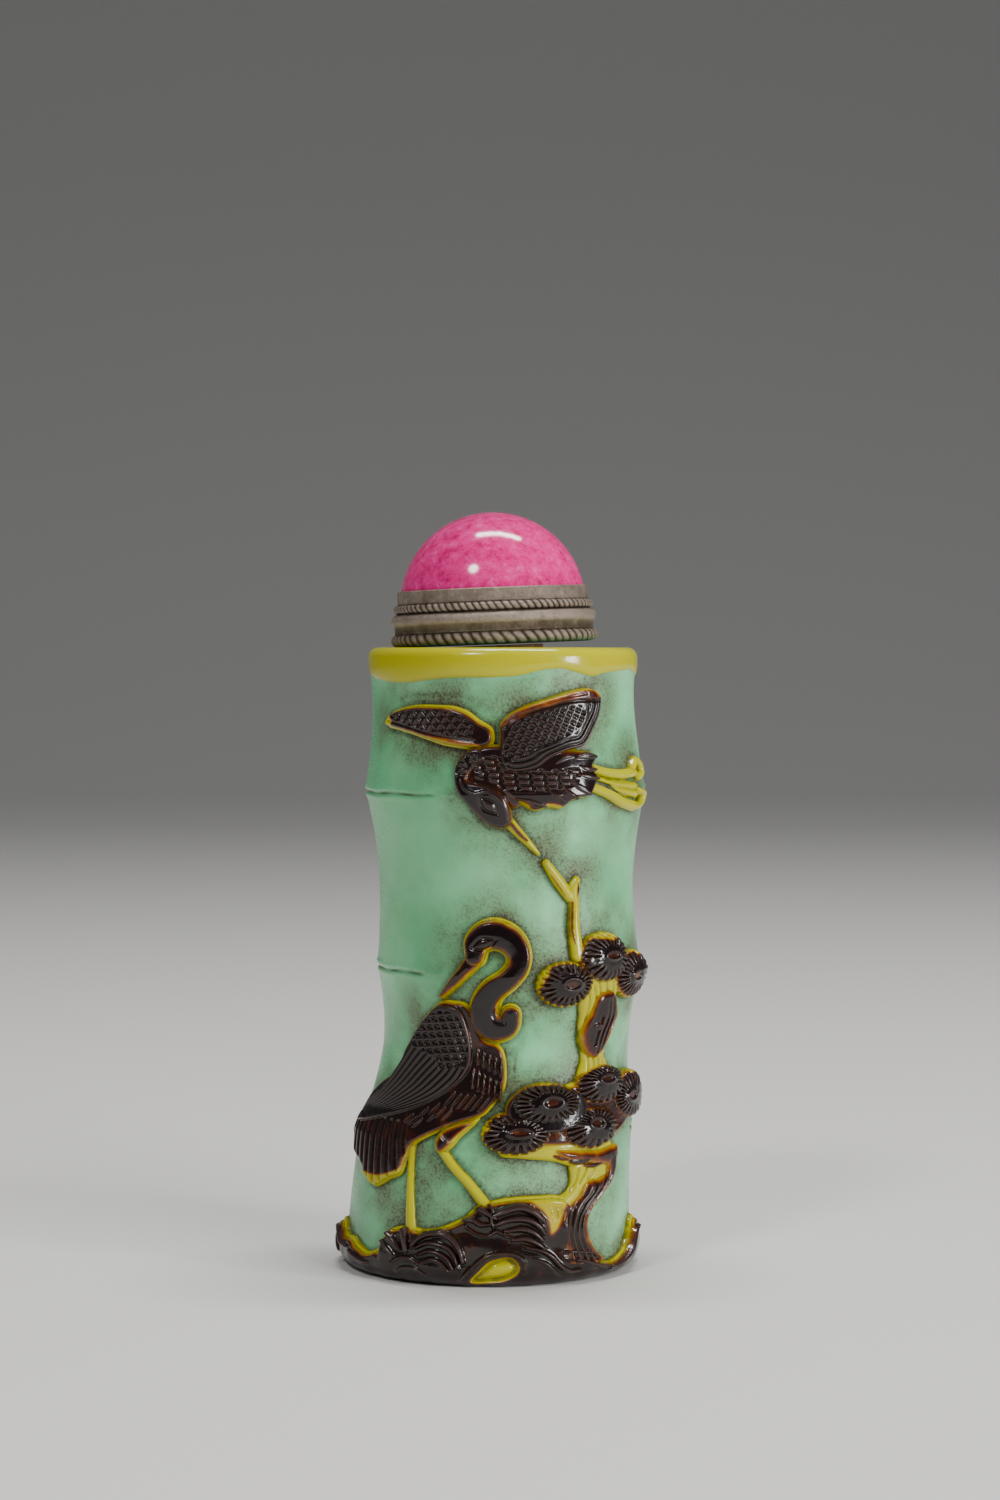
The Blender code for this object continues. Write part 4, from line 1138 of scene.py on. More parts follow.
@dataclass
class Pine:
    """The pine that grows up the right of the front, in an upper and a lower part, with its long twig."""

    bamboo: Bamboo

    def upper(self) -> list[Carving]:
        """Give the twig, the middle trunk and the upper clusters."""
        twig = (
            Stroke(((4.0, 42.85, 0.46), (4.8, 41.7, 0.62), (5.7, 40.5, 0.68), (6.6, 39.3, 0.62))),
            Stroke(
                (
                    (7.35, 41.0, 0.5), (7.0, 40.0, 0.74), (7.1, 38.6, 0.66), (7.0, 36.4, 0.68),
                    (7.2, 33.4, 0.8)
                )
            )
        )
        trunk = Outline(
            (
                (8.0, 31.0), (12.6, 31.0), (12.7, 28.6), (13.3, 27.2), (13.2, 26.1), (12.5, 24.9),
                (11.8, 23.9), (11.6, 23.0), (12.2, 22.1), (12.1, 20.6), (8.1, 20.6), (8.3, 22.6),
                (8.0, 24.2), (7.6, 25.7), (7.6, 27.3), (7.5, 28.8)
            )
        )
        core = Outline(
            (
                (11.3, 29.7), (12.4, 28.7), (12.8, 27.0), (12.0, 25.0), (11.1, 23.4), (9.8, 22.6),
                (8.5, 23.2), (7.7, 24.8), (7.9, 26.2), (8.6, 27.6), (9.5, 29.3)
            )
        )
        bark = (
            ((12.3, 28.6), (12.2, 26.8), (11.4, 25.0), (10.9, 23.4)),
            ((11.6, 28.8), (11.6, 27.0), (10.9, 25.2), (10.4, 23.2)),
            ((11.0, 28.4), (10.9, 26.8), (10.2, 25.0), (9.9, 23.4)),
            ((10.1, 27.0), (9.7, 25.6), (9.4, 24.2))
        )
        streaks = (
            ((8.4, 29.8), (8.6, 28.4), (8.2, 26.6), (8.2, 25.0)), ((9.0, 30.2), (9.4, 28.6), (9.0, 27.0)),
            ((9.6, 30.6), (9.9, 29.2), (9.4, 27.8)), ((10.6, 30.6), (10.8, 29.6), (11.2, 28.9)),
            ((11.6, 30.4), (11.8, 29.2)), ((8.6, 26.4), (8.4, 25.0), (8.9, 23.2), (9.2, 21.4)),
            ((9.6, 22.9), (9.9, 21.9), (9.9, 20.9)), ((10.4, 22.6), (10.6, 21.4)),
            ((11.0, 23.0), (11.2, 22.0), (11.4, 21.0))
        )
        forms = [Carving(stroke, Layer.YELLOW, top=0.8) for stroke in twig]
        forms.append(ridge(((7.3, 40.8), (7.3, 40.0), (7.2, 39.3)), 0.24, 0.95))
        forms.append(ridge(((6.7, 38.9), (6.6, 37.6), (6.5, 36.2), (6.8, 34.6)), 0.2, 0.98))
        forms.append(ridge(((4.4, 41.7), (5.2, 40.6), (6.0, 39.5)), 0.16, 0.9))
        forms.append(
            Carving(trunk, Layer.YELLOW, top=0.75, wall=0.5, marks=(Lines(streaks, cut=0.16, width=0.15),))
        )
        forms.append(
            Carving(
                core, top=0.98, border=0.0, crown=0.35, wall=0.8, fade=1.1, bite=0.3,
                marks=(Lines(bark, cut=0.24, width=0.16),)
            )
        )
        forms.append(Carving(Disc((9.5, 26.0), 0.7, 0.55), top=1.3, border=0.0, fade=0.7, crown=0.1))
        forms.append(
            cluster(
                (5.7, 30.5), 3.1, 2.45, 1.25, boss=(6.0, 30.6), boss_size=(0.9, 0.6), bright=160,
                bright_reach=0.36
            )
        )
        forms.append(cluster((15.0, 31.0), 3.4, 2.6, 1.2, boss=(14.4, 30.9), bright=70, bright_reach=0.3))
        forms.append(
            cluster(
                (10.3, 33.1), 3.2, 2.65, 1.38, boss=(10.5, 33.3), boss_size=(0.9, 0.42), bright=88,
                bright_reach=0.44
            )
        )
        forms.append(Carving(Disc((8.3, 32.9), 0.75, 0.7), top=1.55, border=0.02, crown=0.1))
        return forms

    def lower(self) -> list[Carving]:
        """Give the lower trunk, its branch and the lower clusters."""
        trunk = Outline(
            (
                (7.5, 12.2), (9.4, 13.0), (13.2, 13.6), (13.7, 11.7), (13.2, 9.8), (11.6, 8.3), (10.3, 7.1),
                (9.9, 5.9), (10.1, 4.5), (10.7, 3.1), (11.9, 1.7), (7.0, 1.6), (6.1, 4.2), (5.2, 5.8),
                (5.0, 7.6), (5.7, 8.6), (6.9, 9.2), (7.6, 9.9), (7.7, 10.9)
            )
        )
        core = Outline(
            (
                (11.9, 13.4), (13.2, 12.9), (13.5, 11.6), (12.9, 9.9), (11.4, 8.5), (10.2, 7.3), (9.7, 6.0),
                (9.9, 4.6), (10.5, 3.3), (11.6, 1.9), (7.4, 1.9), (7.0, 3.4), (6.6, 5.0), (6.6, 6.6),
                (7.0, 7.9), (7.9, 8.7), (8.7, 9.6), (9.3, 10.5), (10.8, 10.6), (11.7, 11.2)
            )
        )
        bark = (
            ((12.4, 12.4), (12.4, 10.6), (10.9, 8.8), (9.3, 7.0), (9.2, 4.8), (10.4, 2.2)),
            ((11.8, 10.9), (11.3, 9.8), (9.9, 8.4), (8.8, 6.8), (8.6, 4.8), (9.7, 2.2)),
            ((10.6, 10.4), (10.0, 9.2), (8.9, 8.0), (8.2, 6.4), (8.1, 4.6), (9.0, 2.2)),
            ((9.6, 10.4), (9.1, 9.2), (8.0, 8.0), (7.6, 6.4), (7.6, 4.6), (8.2, 2.2)),
            ((8.6, 9.2), (7.5, 7.9), (7.1, 6.2), (7.1, 4.4))
        )
        webs = (
            ((7.0, 9.2), (6.2, 7.4), (5.9, 5.4), (6.2, 4.0)), ((6.2, 8.7), (5.4, 7.2), (5.4, 5.8)),
            ((8.4, 11.6), (8.2, 10.4), (7.6, 9.4)), ((9.4, 12.4), (9.2, 11.2), (8.6, 10.2)),
            ((10.4, 12.0), (10.2, 11.2), (9.6, 10.6)), ((6.6, 8.9), (5.8, 7.4), (5.6, 6.0))
        )
        branch = Outline(
            (
                (0.4, 14.6), (3.0, 14.6), (6.1, 14.6), (9.6, 14.6), (12.6, 14.2), (12.0, 12.0), (9.0, 11.7),
                (7.3, 12.0), (6.2, 12.4), (4.7, 12.7), (2.4, 13.0), (0.5, 13.3)
            )
        )
        limb = Outline(
            (
                (5.6, 13.9), (8.0, 13.7), (10.6, 13.5), (13.2, 13.8), (13.6, 12.2), (12.2, 11.6),
                (10.2, 11.9), (8.2, 12.3), (6.4, 12.8)
            )
        )
        under = Outline(
            (
                (-0.6, 15.4), (1.6, 18.6), (5.0, 19.8), (9.6, 20.8), (13.8, 20.4), (17.6, 19.6),
                (17.0, 16.6), (12.6, 14.2), (9.2, 13.9), (4.6, 14.0), (1.0, 13.9)
            )
        )
        forms = [
            Carving(under, top=0.8, border=0.3, crown=0.0, fade=0.5),
            Carving(branch, Layer.YELLOW, top=0.7),
            Carving(trunk, Layer.YELLOW, top=0.72, wall=0.5, marks=(Lines(webs, cut=0.16, width=0.15),)),
            Carving(limb, top=0.95, border=0.0, crown=0.3, wall=0.8, fade=1.3),
            ridge(((5.6, 13.2), (6.6, 12.9), (7.8, 12.9)), 0.36, 0.9),
            ridge(((7.4, 12.6), (8.4, 12.5), (9.6, 12.7), (10.8, 12.5)), 0.5, 1.02),
            ridge(((9.0, 12.0), (10.2, 11.9), (11.6, 12.2)), 0.4, 0.95),
            Carving(
                core, top=1.0, border=0.0, crown=0.45, wall=0.9, fade=1.2, bite=0.3,
                marks=(Lines(bark, cut=0.24, width=0.16),)
            ),
            cluster(
                (1.7, 15.6), 3.4, 2.3, 1.25, boss=(2.0, 15.8), boss_size=(1.05, 0.42), turn=-0.08,
                bright=170, bright_reach=0.3
            ),
            cluster((9.7, 15.7), 3.5, 2.2, 1.3, boss=(9.6, 16.3), bright=-60, bright_reach=0.25),
            cluster((16.5, 18.4), 3.7, 2.6, 1.3, boss=(15.2, 18.4), bright=75, bright_reach=0.3),
            cluster(
                (10.9, 20.0), 3.5, 2.1, 1.38, boss=(10.9, 20.6), boss_size=(0.95, 0.42), bright=120,
                bright_reach=0.25
            ),
            Carving(
                Disc((4.7, 17.9), 4.3, 2.5, -0.05, scallop_cut=0.0), top=1.3, border=0.1, crown=0.1,
                wall=0.4
            ),
            cluster(
                (4.4, 18.5), 3.6, 2.15, 1.55, boss=(4.7, 18.7), boss_size=(1.0, 0.6), turn=-0.05,
                needles=25, bright=95, bright_reach=0.2
            )
        ]
        return forms

    def build(self, finish: "Finish") -> list[bpy.types.Object]:
        """Build both parts."""
        upper = CarvedPatch("pine_upper", self.bamboo, self.upper()).build(finish)
        lower = CarvedPatch("pine_lower", self.bamboo, self.lower()).build(finish)
        return [upper, lower]


@dataclass
class Rocks:
    """The rocks all round the foot, with leaf-like lobes at the front and plain waves at the back."""

    bamboo: Bamboo
    proud: float = 0.95
    border: float = 0.42
    wall: float = 0.3
    foot_round: float = 2.3
    bottom: float = 0.04
    arc_step: float = 0.1
    rise_step: float = 0.09
    root: float = 0.35
    highest: float = 10.0
    block: int = 10
    edge_points: Sequence[Point] = (
        (-24.0, 3.6), (-21.6, 4.3), (-20.4, 4.9), (-19.0, 4.6), (-17.8, 3.6), (-15.9, 3.7), (-14.6, 3.1),
        (-12.8, 2.7), (-11.3, 3.4), (-10.6, 4.7), (-9.5, 5.6), (-7.8, 6.0), (-6.0, 5.8), (-4.1, 6.3),
        (-2.3, 7.3), (-1.2, 8.4), (0.1, 8.9), (1.8, 9.2), (4.4, 9.3), (6.4, 9.2), (7.8, 8.4), (9.2, 4.6),
        (10.8, 2.4), (12.6, 1.7), (14.4, 2.1), (16.5, 3.3), (17.9, 5.0), (19.2, 5.4), (20.6, 4.4),
        (22.0, 3.5), (24.0, 3.3)
    )

    def edge(self, arc: Array) -> Array:
        """Give the height of the rocks' upper edge."""
        points = smooth_through(self.edge_points, closed=False)
        front = np.interp(arc, points[:, 0], points[:, 1])
        turn = arc / self.bamboo.drawing_radius
        back = 3.5 + 0.45 * np.sin(5 * turn + 0.6) + 0.25 * np.sin(11 * turn)
        at_back = smooth(np.abs(arc), 21.5, 24.0)
        return front * (1 - at_back) + back * at_back

    def ridges(self) -> list[Carving]:
        """Give the leaf-like lobes, the crane's toes and the rounded ridges of the rocks."""
        front = (
            (((-9.7, 5.1), (-8.9, 4.5), (-8.2, 3.7)), 0.45, 1.55),
            (((-10.4, 4.2), (-9.6, 3.5), (-8.9, 2.9)), 0.34, 1.35),
            (((-8.0, 6.3), (-7.7, 5.0), (-7.5, 3.6)), 0.5, 1.6),
            (((-7.2, 5.4), (-6.9, 4.5), (-7.0, 3.8)), 0.3, 1.4),
            (
                ((-6.9, 4.2), (-6.2, 5.0), (-5.3, 5.5), (-4.2, 5.6), (-3.2, 5.1), (-2.5, 4.0), (-2.2, 2.8)),
                0.46, 1.6
            ),
            (((-6.6, 3.9), (-5.6, 4.5), (-4.6, 4.5), (-3.5, 4.1), (-2.9, 3.2), (-2.6, 2.0)), 0.34, 1.45),
            (((-6.4, 3.2), (-5.4, 3.7), (-4.5, 3.6), (-3.6, 3.0), (-3.1, 2.0)), 0.32, 1.4),
            (((-5.9, 2.6), (-5.0, 2.9), (-4.2, 2.6), (-3.5, 1.8)), 0.3, 1.35),
            (((-9.3, 2.0), (-8.3, 2.7), (-7.2, 2.8), (-6.3, 2.3)), 0.3, 1.3),
            (((-8.9, 1.2), (-7.8, 1.8), (-6.6, 1.8), (-5.6, 1.2)), 0.3, 1.3),
            (((0.2, 7.4), (1.2, 7.9), (2.6, 8.3), (3.8, 7.8), (4.8, 6.8)), 0.55, 1.65),
            (((0.6, 6.6), (2.0, 7.1), (3.4, 7.0), (4.4, 6.3), (4.9, 5.5)), 0.46, 1.55),
            (((1.4, 5.9), (2.8, 6.1), (3.9, 5.7), (4.8, 4.8)), 0.42, 1.45),
            (((2.0, 5.0), (3.2, 5.1), (4.2, 4.6), (4.9, 4.0)), 0.42, 1.4),
            (((-1.7, 8.6), (-0.9, 8.2), (-0.1, 7.7), (0.6, 7.2)), 0.42, 1.6),
            (((-0.1, 8.6), (0.3, 8.0), (0.2, 7.1), (0.4, 6.3)), 0.32, 1.5),
            (((-2.2, 7.0), (-1.4, 7.0), (-0.7, 6.6), (0.1, 6.6)), 0.36, 1.5),
            (((-2.0, 6.3), (-1.0, 5.6), (0.0, 5.5), (0.7, 5.9), (1.5, 5.4), (2.6, 5.0)), 0.26, 1.4),
            (
                ((-2.6, 0.9), (-1.4, 2.3), (-0.2, 3.4), (1.1, 3.7), (2.3, 3.5), (3.1, 2.7), (3.1, 1.6)),
                0.3, 1.45
            ),
            (((3.2, 4.2), (4.6, 3.8), (5.6, 3.1), (6.4, 2.1), (7.4, 1.5), (8.6, 1.5)), 0.36, 1.45),
            (((4.0, 3.0), (5.0, 2.5), (5.8, 1.7), (6.6, 1.0)), 0.3, 1.35),
            (((6.6, 3.5), (8.0, 3.4), (9.6, 3.1), (10.8, 2.4)), 0.3, 1.4),
            (((5.2, 8.9), (5.7, 7.6), (5.8, 6.2)), 0.16, 1.1),
            (((5.9, 8.9), (6.3, 7.6), (6.2, 6.2)), 0.16, 1.1),
            (((6.5, 9.0), (6.8, 7.9), (6.7, 6.6)), 0.14, 1.1),
            (((7.0, 2.6), (8.4, 2.5), (9.8, 2.0), (11.2, 1.5), (13.0, 1.2)), 0.32, 1.4),
            (((12.6, 1.0), (14.6, 1.4), (16.4, 2.4), (17.8, 3.9), (19.2, 4.2)), 0.42, 1.4),
            (((-20.8, 3.9), (-19.2, 3.6), (-17.8, 2.7), (-16.2, 2.6)), 0.45, 1.4),
            (((-15.6, 2.3), (-14.0, 1.8), (-12.4, 1.6)), 0.4, 1.3)
        )
        forms = [ridge(route, width, top) for route, width, top in front]
        for i in range(10):
            start = 23.6 + 4.2 * i
            lift = 0.3 * math.sin(2.4 * i)
            wave = (
                (start, 1.6 + lift), (start + 1.2, 2.6 + lift), (start + 2.6, 2.5 + lift),
                (start + 3.6, 1.4)
            )
            inner = ((start + 0.9, 1.2), (start + 1.7, 1.8 + lift), (start + 2.6, 1.2))
            forms.append(ridge(wave, 0.42, 1.35))
            forms.append(ridge(inner, 0.32, 1.25))
        return forms

    def form(self, arc: Array, rise: Array) -> tuple[Array, Array, Array]:
        """Work out the rocks at points of the drawing.

        Args:
            arc: Millimetres round the body.
            rise: Millimetres up the drawing.

        Returns:
            The height above the ground, the same less the foot's rounding, and the brown's thickness.
        """
        reach = 0.05
        edge = self.edge(arc)
        slope = (self.edge(arc + reach) - self.edge(arc - reach)) / (2 * reach)
        depth = (edge - rise) / np.sqrt(1 + slope**2)
        inner = depth - self.border
        over = self.proud - YELLOW_THICKNESS
        height = YELLOW_THICKNESS * rounded(depth, YELLOW_WALL) + over * rounded(inner, self.wall)
        brown = over * smooth(inner, -0.05, 0.4)
        swell = 0.1 * np.sin(1.3 * arc + 0.8 * rise) * np.sin(0.9 * arc - 1.1 * rise + 1.0)
        height = height + swell * smooth(inner, 0.1, 0.8)
        around = 2 * math.pi * self.bamboo.drawing_radius
        for carving in self.ridges():
            for turn in (0.0, -around):
                near = near_to(carving.shape, arc - turn, rise, 0.8)
                if not near.any():
                    continue
                _, own_height, own_brown = carving.form(arc[near] - turn, rise[near])
                own_height = np.where(inner[near] > -0.2, own_height, -1.0)
                higher = own_height > height[near]
                brown[near] = np.where(higher, np.maximum(own_brown, brown[near]), brown[near])
                height[near] = np.where(higher, own_height, height[near])
        web = Outline(((4.0, 9.5), (7.6, 9.5), (7.2, 7.6), (6.4, 5.6), (5.4, 5.2), (5.0, 7.0), (3.6, 8.6)))
        brown = brown * (1 - 0.97 * smooth(web.depth(arc, rise), -0.3, 0.5))
        hole = Outline(
            (
                (-1.6, 0.6), (-0.8, 1.9), (0.1, 2.8), (1.2, 3.2), (2.1, 3.1), (2.7, 2.3), (2.6, 1.6),
                (1.9, 1.0), (0.6, 0.6)
            )
        )
        inside = hole.depth(arc, rise)
        opening = smooth(inside, -0.1, 0.3)
        height = height * (1 - opening) + (0.3 + 0.25 * smooth(inside, 0.3, 0.9)) * opening
        brown = brown * (1 - smooth(inside, -0.2, 0.05))
        tuck = 1 - np.sqrt(1 - np.clip(1 - rise / self.foot_round, 0.0, 1.0) ** 2)
        raised = np.where(depth > 0, height, 0.0)
        return raised, raised - self.foot_round * tuck, brown

    def flat_ring(self) -> tuple[bmesh.types.BMesh, Array, Array, Array, Array]:
        """Make the ring, trimmed to the rocks' upper edge, on a cylinder of radius 1.

        Returns:
            The ring and, for each vertex, its arc, its rise, and its grid column and row.
        """
        around = 2 * math.pi * self.bamboo.drawing_radius
        counts = np.array([int(around / self.arc_step), int((self.highest - self.bottom) / self.rise_step)])
        shape = bmesh.new()
        bmesh.ops.create_grid(shape, x_segments=int(counts[0]), y_segments=int(counts[1]), size=1.0)
        shares = (grid_values(shape)[:, :2] + 1) / 2
        arc = (shares[:, 0] - 0.5) * around
        rise = self.bottom + shares[:, 1] * (self.highest - self.bottom)
        edge = self.edge(arc)
        kept = rise <= edge + 0.75 * self.rise_step
        rise = np.where((rise > edge - 0.5 * self.rise_step) & kept, edge - 0.005, rise)
        cells = np.rint(shares * counts)
        layers = [
            new_layer(shape, name, values) for name,
            values in (
                ("arc", arc), ("rise", rise), ("grid_column", cells[:, 0]), ("grid_row", cells[:, 1])
            )
        ]
        angle = arc / self.bamboo.drawing_radius
        move_to(shape, np.column_stack([np.sin(angle), -np.cos(angle), rise]))
        outside = [vertex for vertex, keep in zip(shape.verts, kept) if not keep]
        bmesh.ops.delete(shape, geom=outside, context="VERTS")
        bmesh.ops.remove_doubles(shape, verts=shape.verts, dist=WELD)
        return shape, *[layer_values(shape, layer) for layer in layers]

    def build(self, finish: "Finish") -> bpy.types.Object:
        """Build the ring of rocks."""
        shape, arc, rise, columns, rows = self.flat_ring()
        height, placed, brown = self.form(arc, rise)
        new_layer(shape, "proud", height)
        new_layer(shape, "raised", height - softened(shape, height))
        new_layer(shape, "brown", brown)
        placed_layer = new_layer(shape, "placed", placed)
        carved = thicken(shape, columns, rows, self.block)
        for vertex in shape.verts:
            if vertex not in carved:
                vertex[placed_layer] = min(-self.root, vertex[placed_layer] - self.root)
        arc_layer = shape.verts.layers.float["arc"]
        rise_layer = shape.verts.layers.float["rise"]
        places = self.bamboo.place(
            layer_values(shape, arc_layer), layer_values(shape, rise_layer),
            layer_values(shape, placed_layer)
        )
        move_to(shape, places)
        turn_outwards(shape)
        piece = finish_mesh("rocks", shape, finish, sharp=80.0)
        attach(piece, BODY)
        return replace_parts(piece, "bottle")


# The vessel


def spin_round(shape: bmesh.types.BMesh, steps: int) -> None:
    """Turn the edges of a bmesh once round Z into faces."""
    moved = shape.verts[:] + shape.edges[:]
    full = 2 * math.pi
    bmesh.ops.spin(shape, geom=moved, axis=(0, 0, 1), angle=full, steps=steps, use_merge=True)
    bmesh.ops.remove_doubles(shape, verts=shape.verts, dist=WELD)


def turn_profile(profile: Sequence[Point], steps: int) -> bmesh.types.BMesh:
    """Turn a profile of (radius, height) in millimetres about Z.

    Args:
        profile: The points in order. Its ends lie on the axis, or its last point repeats the first.
        steps: How many steps the turn has.

    Returns:
        The closed shape, still in millimetres, with its normals outwards.
    """
    shape = bmesh.new()
    corners = [shape.verts.new((radius, 0.0, level)) for radius, level in profile]
    for pair in zip(corners, corners[1:]):
        shape.edges.new(pair)
    spin_round(shape, steps)
    drop_wires(shape)
    turn_outwards(shape)
    return shape


def bend(centre: Point, radius: float, start: float, end: float, steps: int) -> list[Point]:
    """Give the points of an arc in a profile, from one angle in degrees to another."""
    angles = np.radians(np.linspace(start, end, steps + 1))
    return [(centre[0] + radius * math.cos(a), centre[1] + radius * math.sin(a)) for a in angles]


@dataclass
class Vessel:
    """The turquoise glass body: bamboo outside, hollow inside, with its engraved joint lines."""

    bamboo: Bamboo
    figures: Sequence[CarvedPatch]
    rocks: Rocks
    wall: float = 3.0
    floor: float = 4.0
    neck_length: float = 11.5
    mouth_radius: float = 5.5
    mouth_chamfer: float = 0.4
    mouth_shift: float = -0.7
    shoulder: float = 4.0
    rim_round: float = 0.9
    foot_round: float = 2.5
    steps: int = 260

    def mouth_centre(self) -> float:
        """Give the mouth's place across the body."""
        return float(self.bamboo.drift(np.array(self.bamboo.height))) + self.mouth_shift

    def outside(self) -> list[Point]:
        """Give the outer profile, from the centre of the underside to the mouth."""
        top = self.bamboo.height
        levels = set(np.arange(self.foot_round + 0.4, top - self.rim_round, 0.5))
        for joint in self.bamboo.joint_levels():
            levels = {level for level in levels if abs(level - joint) > 1.2}
            levels |= set(joint + np.arange(-1.1, 1.11, 0.1))
        foot = float(self.bamboo.radius(np.array(0.0)))
        rim = float(self.bamboo.radius(np.array(top)))
        points = [(0.0, 0.0), (6.0, 0.0), (10.0, 0.0)]
        points += bend((foot - self.foot_round, self.foot_round), self.foot_round, -90, 0, 8)
        points += [(float(self.bamboo.radius(np.array(level))), float(level)) for level in sorted(levels)]
        points += bend((rim - self.rim_round, top - self.rim_round), self.rim_round, 0, 90, 8)
        points += [(10.5, top), (8.0, top)]
        return points

    def inside(self) -> list[Point]:
        """Give the hollow's profile, from the mouth to the centre of the floor."""
        top = self.bamboo.height
        neck_end = top - self.neck_length
        shoulder_end = neck_end - self.shoulder
        widest = float(self.bamboo.radius(np.array(shoulder_end))) - self.wall
        chamfer = self.mouth_chamfer
        points = bend((self.mouth_radius + chamfer, top - chamfer), chamfer, 90, 180, 4)
        points += [
            (self.mouth_radius, top - 3.0), (self.mouth_radius, top - 7.0), (self.mouth_radius, neck_end)
        ]
        for turn in np.radians(np.arange(10, 91, 10)):
            reach = self.mouth_radius + (widest - self.mouth_radius) * math.sin(turn)
            points.append((reach, neck_end - self.shoulder * (1 - math.cos(turn))))
        corner = self.wall
        for level in np.linspace(shoulder_end, self.floor + corner, 24)[1:-1]:
            points.append((float(self.bamboo.radius(np.array(level))) - self.wall, float(level)))
        base = float(self.bamboo.radius(np.array(self.floor + corner))) - self.wall
        points += bend((base - corner, self.floor + corner), corner, 0, -90, 6)
        points.append((0.0, self.floor))
        return points

    def engrave(self, arc: Array, level: Array) -> tuple[Array, Array]:
        """Work out joint lines, tool marks and the hand-ground unevenness of the skin.

        Args:
            arc: Millimetres round the body.
            level: Millimetres up it.

        Returns:
            How far the skin is moved outwards, and how much dirt the cuts hold, from 0 to 1.
        """
        change = np.zeros(arc.shape)
        dirt = np.zeros(arc.shape)
        spans = ((-14.2, 18.0), (-8.6, 17.0), (-6.4, 18.0))
        for joint, (left, right) in zip(self.bamboo.joint_levels(), spans):
            shown = np.maximum(1 - smooth(arc, left - 1.4, left), smooth(arc, right, right + 1.2))
            wander = joint - 0.1 + 0.06 * np.sin(0.9 * arc)
            line = -0.2 * notch(level - wander, 0.17) + 0.1 * notch(level - wander - 0.5, 0.24)
            change += shown * (line + 0.07 * notch(level - wander + 0.48, 0.22))
            dirt = np.maximum(dirt, shown * notch(level - wander, 0.15) * (0.75 + 0.25 * np.sin(1.7 * arc)))
        marks = (
            (((-11.9, 59.3), (-10.4, 59.8), (-5.3, 60.0), (-2.8, 59.1), (-1.2, 58.3)), 0.07, 0.45),
            (((-3.7, 13.1), (-2.3, 11.6), (-0.9, 10.2)), 0.06, 0.3),
            (((1.6, 12.3), (3.0, 12.1), (3.6, 12.2)), 0.05, 0.5),
            (((0.4, 9.9), (3.0, 10.1), (6.0, 9.9)), 0.05, 0.25),
            (((0.8, 24.0), (1.0, 21.0), (0.7, 18.6)), 0.06, 0.5)
        )
        for route, cut, held in marks:
            off = thread(route).off_line(arc, level)
            change -= cut * notch(off, 0.24)
            dirt = np.maximum(dirt, held * notch(off, 0.16))
        turn = arc / self.bamboo.drawing_radius
        change += 0.04 * np.sin(3 * turn + 0.31 * level) + 0.025 * np.sin(7 * turn - 0.52 * level + 1.0)
        change += 0.012 * np.sin(23 * turn + 0.9 * level) * np.sin(0.7 * level)
        return change, dirt

    def relief_gap(self, arc: Array, level: Array) -> Array:
        """Give each point's distance from the nearest carving."""
        gap = np.full(arc.shape, FAR)
        for figure in self.figures:
            for carving in figure.carvings:
                near = near_to(carving.shape, arc, level, 6.0)
                if near.any():
                    gap[near] = np.minimum(gap[near], -carving.shape.depth(arc[near], level[near]))
        return np.minimum(gap, np.maximum(level - self.rocks.edge(arc), -1.0) * 1.6)

    def settle(self, shape: bmesh.types.BMesh, hollow: Array) -> None:
        """Give the turned body its lean, engraved lines and dirt, store its distance from the carving for
        grime and painted shade, and turn it to metres.
        """
        flat = grid_values(shape)
        reach = np.hypot(flat[:, 0], flat[:, 1])
        turn = np.arctan2(flat[:, 0], -flat[:, 1])
        arc = turn * self.bamboo.drawing_radius
        level = flat[:, 2]
        skin = ~hollow & (reach > 12.0) & (level > 0.5) & (level < self.bamboo.height - 0.5)
        change = np.zeros(arc.shape)
        dirt = np.zeros(arc.shape)
        gap = np.full(arc.shape, FAR)
        change[skin], dirt[skin] = self.engrave(arc[skin], level[skin])
        gap[skin] = self.relief_gap(arc[skin], level[skin])
        neck_end = self.bamboo.height - self.neck_length
        into_neck = smooth(level, neck_end - self.shoulder, neck_end)
        outer_drift = self.bamboo.drift(level)
        inner_drift = outer_drift * (1 - into_neck) + self.mouth_centre() * into_neck
        drift = np.where(hollow, inner_drift, outer_drift)
        reach = reach + change
        placed = np.stack([drift + reach * np.sin(turn), -reach * np.cos(turn), level], axis=1) * MM
        # The distance from the carving sets the grime and the painted shade at the carving's foot
        new_layer(shape, "grime_and_shade_gap", gap)
        new_layer(shape, "dirt", dirt)
        move_to(shape, placed)

    def build(self, finish: "Finish") -> bpy.types.Object:
        """Build the body."""
        outside = self.outside()
        shape = bmesh.new()
        hollow_layer = shape.verts.layers.float.new("hollow")
        corners = [shape.verts.new((radius, 0.0, level)) for radius, level in outside + self.inside()]
        for number, corner in enumerate(corners):
            corner[hollow_layer] = 1.0 if number >= len(outside) - 2 else 0.0
        for pair in zip(corners, corners[1:]):
            shape.edges.new(pair)
        spin_round(shape, self.steps)
        self.settle(shape, layer_values(shape, hollow_layer) > 0.5)
        turn_outwards(shape)
        piece = finish_mesh("glass_body", shape, finish)
        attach(piece, BODY)
        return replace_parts(piece, "bottle")


